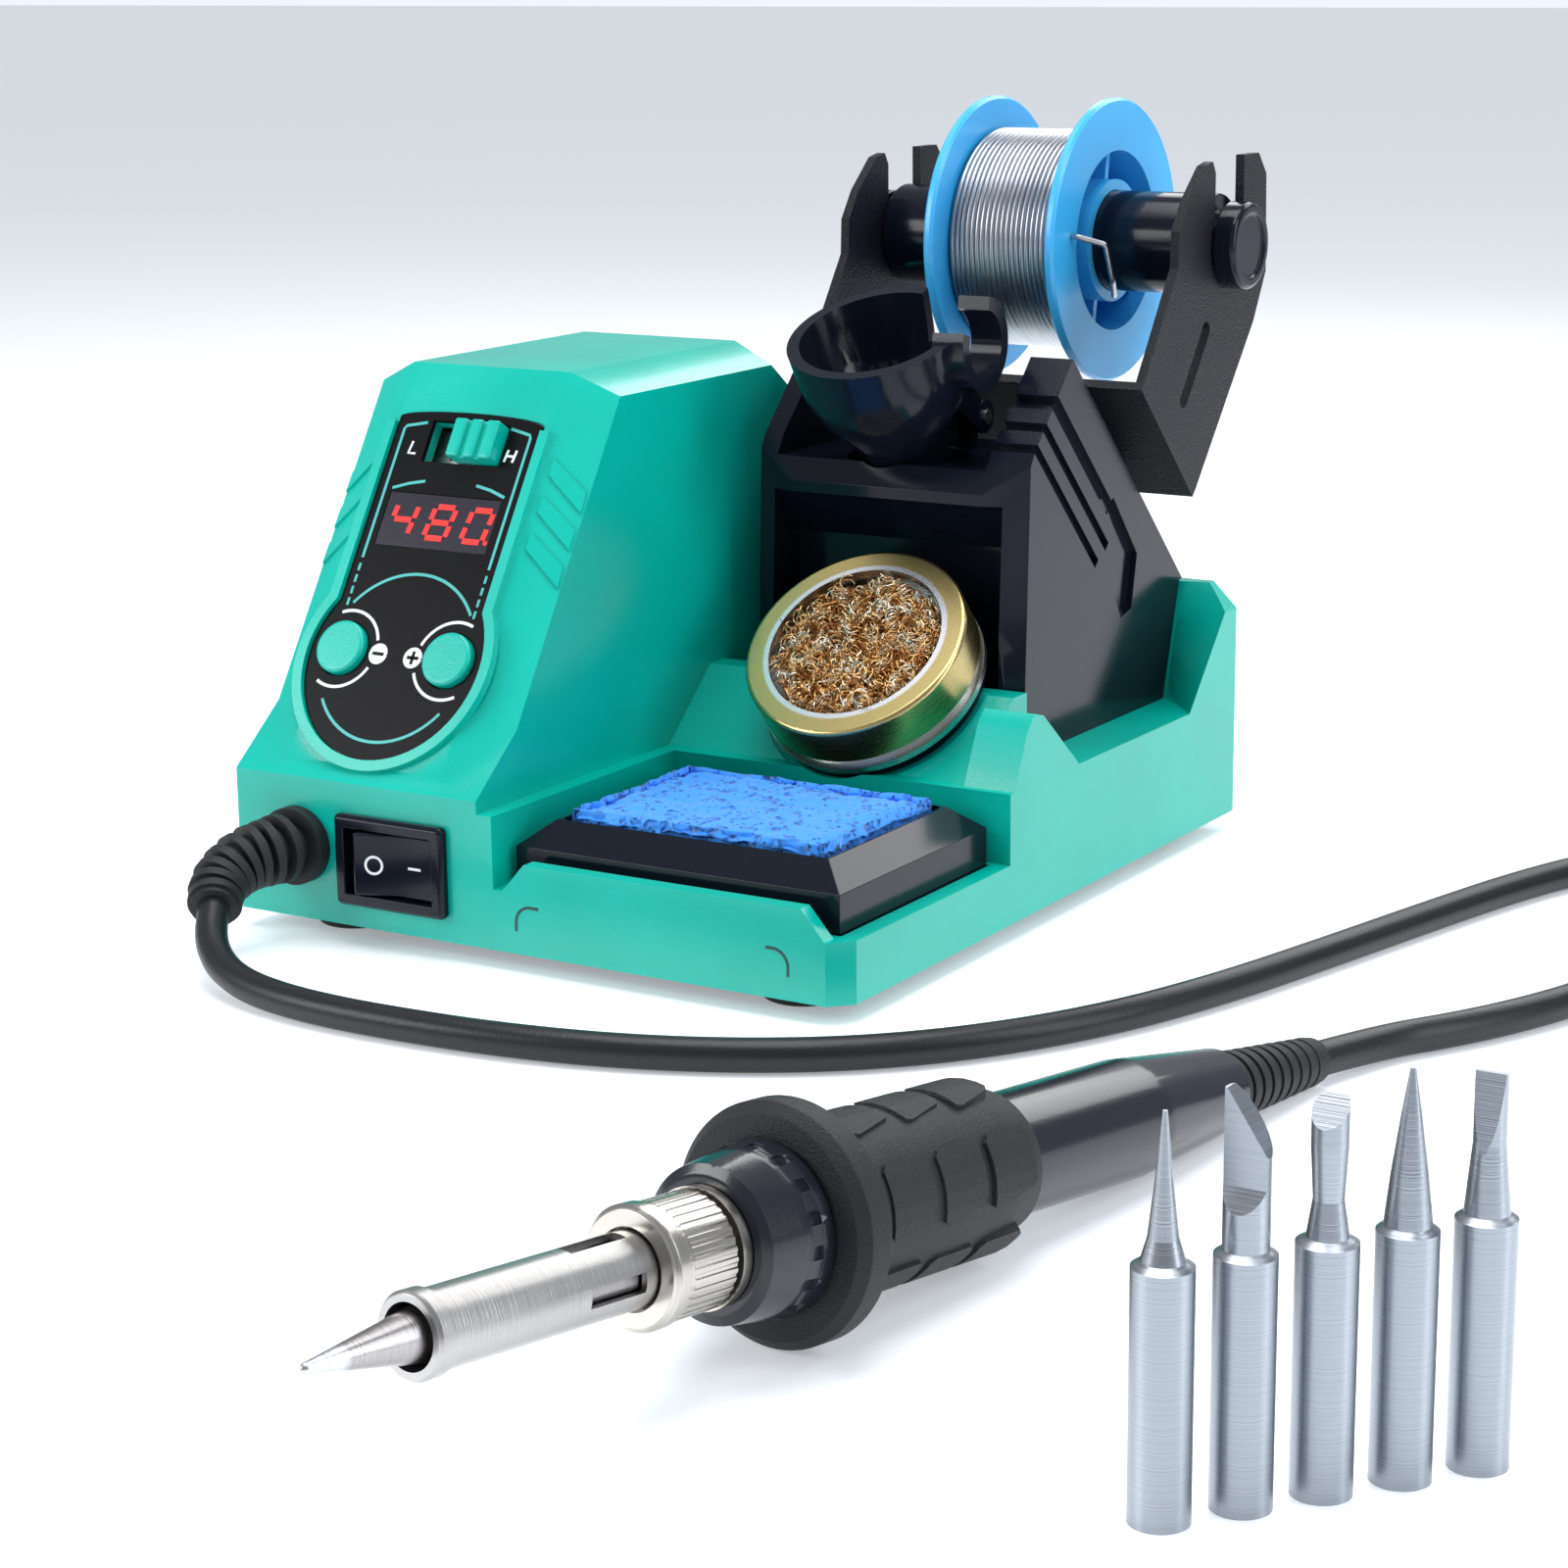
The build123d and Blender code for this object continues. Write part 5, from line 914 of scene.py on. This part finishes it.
# %% Bars on the housing's bevels
BEVEL_ACROSS, BEVEL_DOWN = 8.0, 3.6
BAR_PITCH, BAR_RISE, BAR_SLANT = 6.35, 0.45, 5.2
FIRST_BAR = 39.0
for side, edge_x in (("left", 0.0), ("right", HOUSING_W)):
    sign = -1 if side == "left" else 1
    # a frame on the bevel: up the panel, outwards across the bevel, and away from it
    inner_edge = on_panel(edge_x - sign * BEVEL_ACROSS, 0, 0)
    outer_edge = on_panel(edge_x, 0, -BEVEL_DOWN)
    out_across = (outer_edge - inner_edge).normalized()
    raised_to = PANEL_UP.cross(out_across) * (1 if sign < 0 else -1)
    if raised_to.dot(PANEL_OUT) < 0:
        raised_to.negate()
    outline = [(0, 1.3), (-BAR_SLANT, 8.6), (3.7 - BAR_SLANT, 8.6), (3.1, 1.3)]
    bar = pad_mesh("bar", outline, -0.4, BAR_RISE, draft=0.45)
    to_bevel = Matrix((PANEL_UP, out_across, raised_to)).transposed().to_4x4()
    to_bevel.translation = inner_edge + PANEL_UP * FIRST_BAR * MM
    grow("bevel_bars_" + side, repeat, {"Along": 3, "Around": 1, "Pitch": BAR_PITCH * MM},
         "teal_plastic", "station", to_bevel, bar)

# %% Pads round the grip
GRIP_PADS, PAD_PITCH = 5, 9.6
to_grip = IRON_DIR.to_track_quat("X", "Z").to_matrix().to_4x4()
to_grip.translation = IRON_TIP + IRON_DIR * 78.6 * MM
pad_outline = [(0.4, -4.2), (1.2, -4.6), (8.0, -3.2), (8.8, -2.4), (8.8, 3.6), (8.0, 4.4), (1.2, 4.2),
               (0.4, 3.4)]
pad = pad_mesh("pad", pad_outline, -0.6, 0.55, draft=0.3, wrap=10.2, cuts=5)
grow("grip_pads", repeat, {"Along": 3, "Around": GRIP_PADS, "Pitch": PAD_PITCH * MM},
     "grip_rubber", "iron", to_grip, pad)

# %% [markdown]
# ## Sponge
# The sponge is a block of open foam with a torn, uneven edge. A grid box is roughened by noise:
# coarse waves bend its outline and fine noise breaks its edges, most of all along the top rim.

# %% Sponge
sponge_low, sponge_high = (Vector(c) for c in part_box("sponge"))
sponge_size = sponge_high - sponge_low
sponge_mid = (sponge_low + sponge_high) / 2
foam = bmesh.new()
bmesh.ops.create_cube(foam, size=1.0)
bmesh.ops.subdivide_edges(foam, edges=foam.edges, cuts=7, use_grid_fill=True)
bmesh.ops.subdivide_edges(foam, edges=foam.edges, cuts=7, use_grid_fill=True)
for vertex in foam.verts:
    unit = vertex.co.copy()
    round_in = max(abs(unit.x), abs(unit.y))
    p = Vector((unit.x * sponge_size.x, unit.y * sponge_size.y, unit.z * sponge_size.z))
    top = max(0.0, unit.z * 2)
    seed_at = p * 260 + Vector((3.1, 7.7, 1.3))
    ragged = 0.0011 * noise.noise(seed_at) + 0.0006 * noise.noise(p * 900)
    if abs(unit.x) > 0.49:
        p.x -= (0.0006 + ragged + 0.0006 * top) * (1 if unit.x > 0 else -1)
    if abs(unit.y) > 0.49:
        p.y -= (0.0006 + ragged + 0.0006 * top) * (1 if unit.y > 0 else -1)
    if unit.z > 0.49:
        p.z += 0.0007 * noise.noise(p * 190) + 0.0005 * noise.noise(p * 800) - 0.0006
        p.z -= 0.0012 * max(0.0, round_in - 0.42) / 0.08
    vertex.co = p + sponge_mid
bmesh.ops.recalc_face_normals(foam, faces=foam.faces)
for face in foam.faces:
    face.smooth = True
foam_mesh = bpy.data.meshes.new("sponge_foam")
foam.to_mesh(foam_mesh)
foam.free()
foam_mesh.materials.append(finishes["blue_sponge"])
sponge = bpy.data.objects.new("sponge_foam", foam_mesh)
bpy.context.collection.objects.link(sponge)
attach(sponge, "sponge_pad")
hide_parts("sponge")
print("sponge faces", len(foam_mesh.polygons))

# %% [markdown]
# ## Finish
# The visual model must keep the CAD model's size.

# %% Finish
bpy.context.view_layer.update()
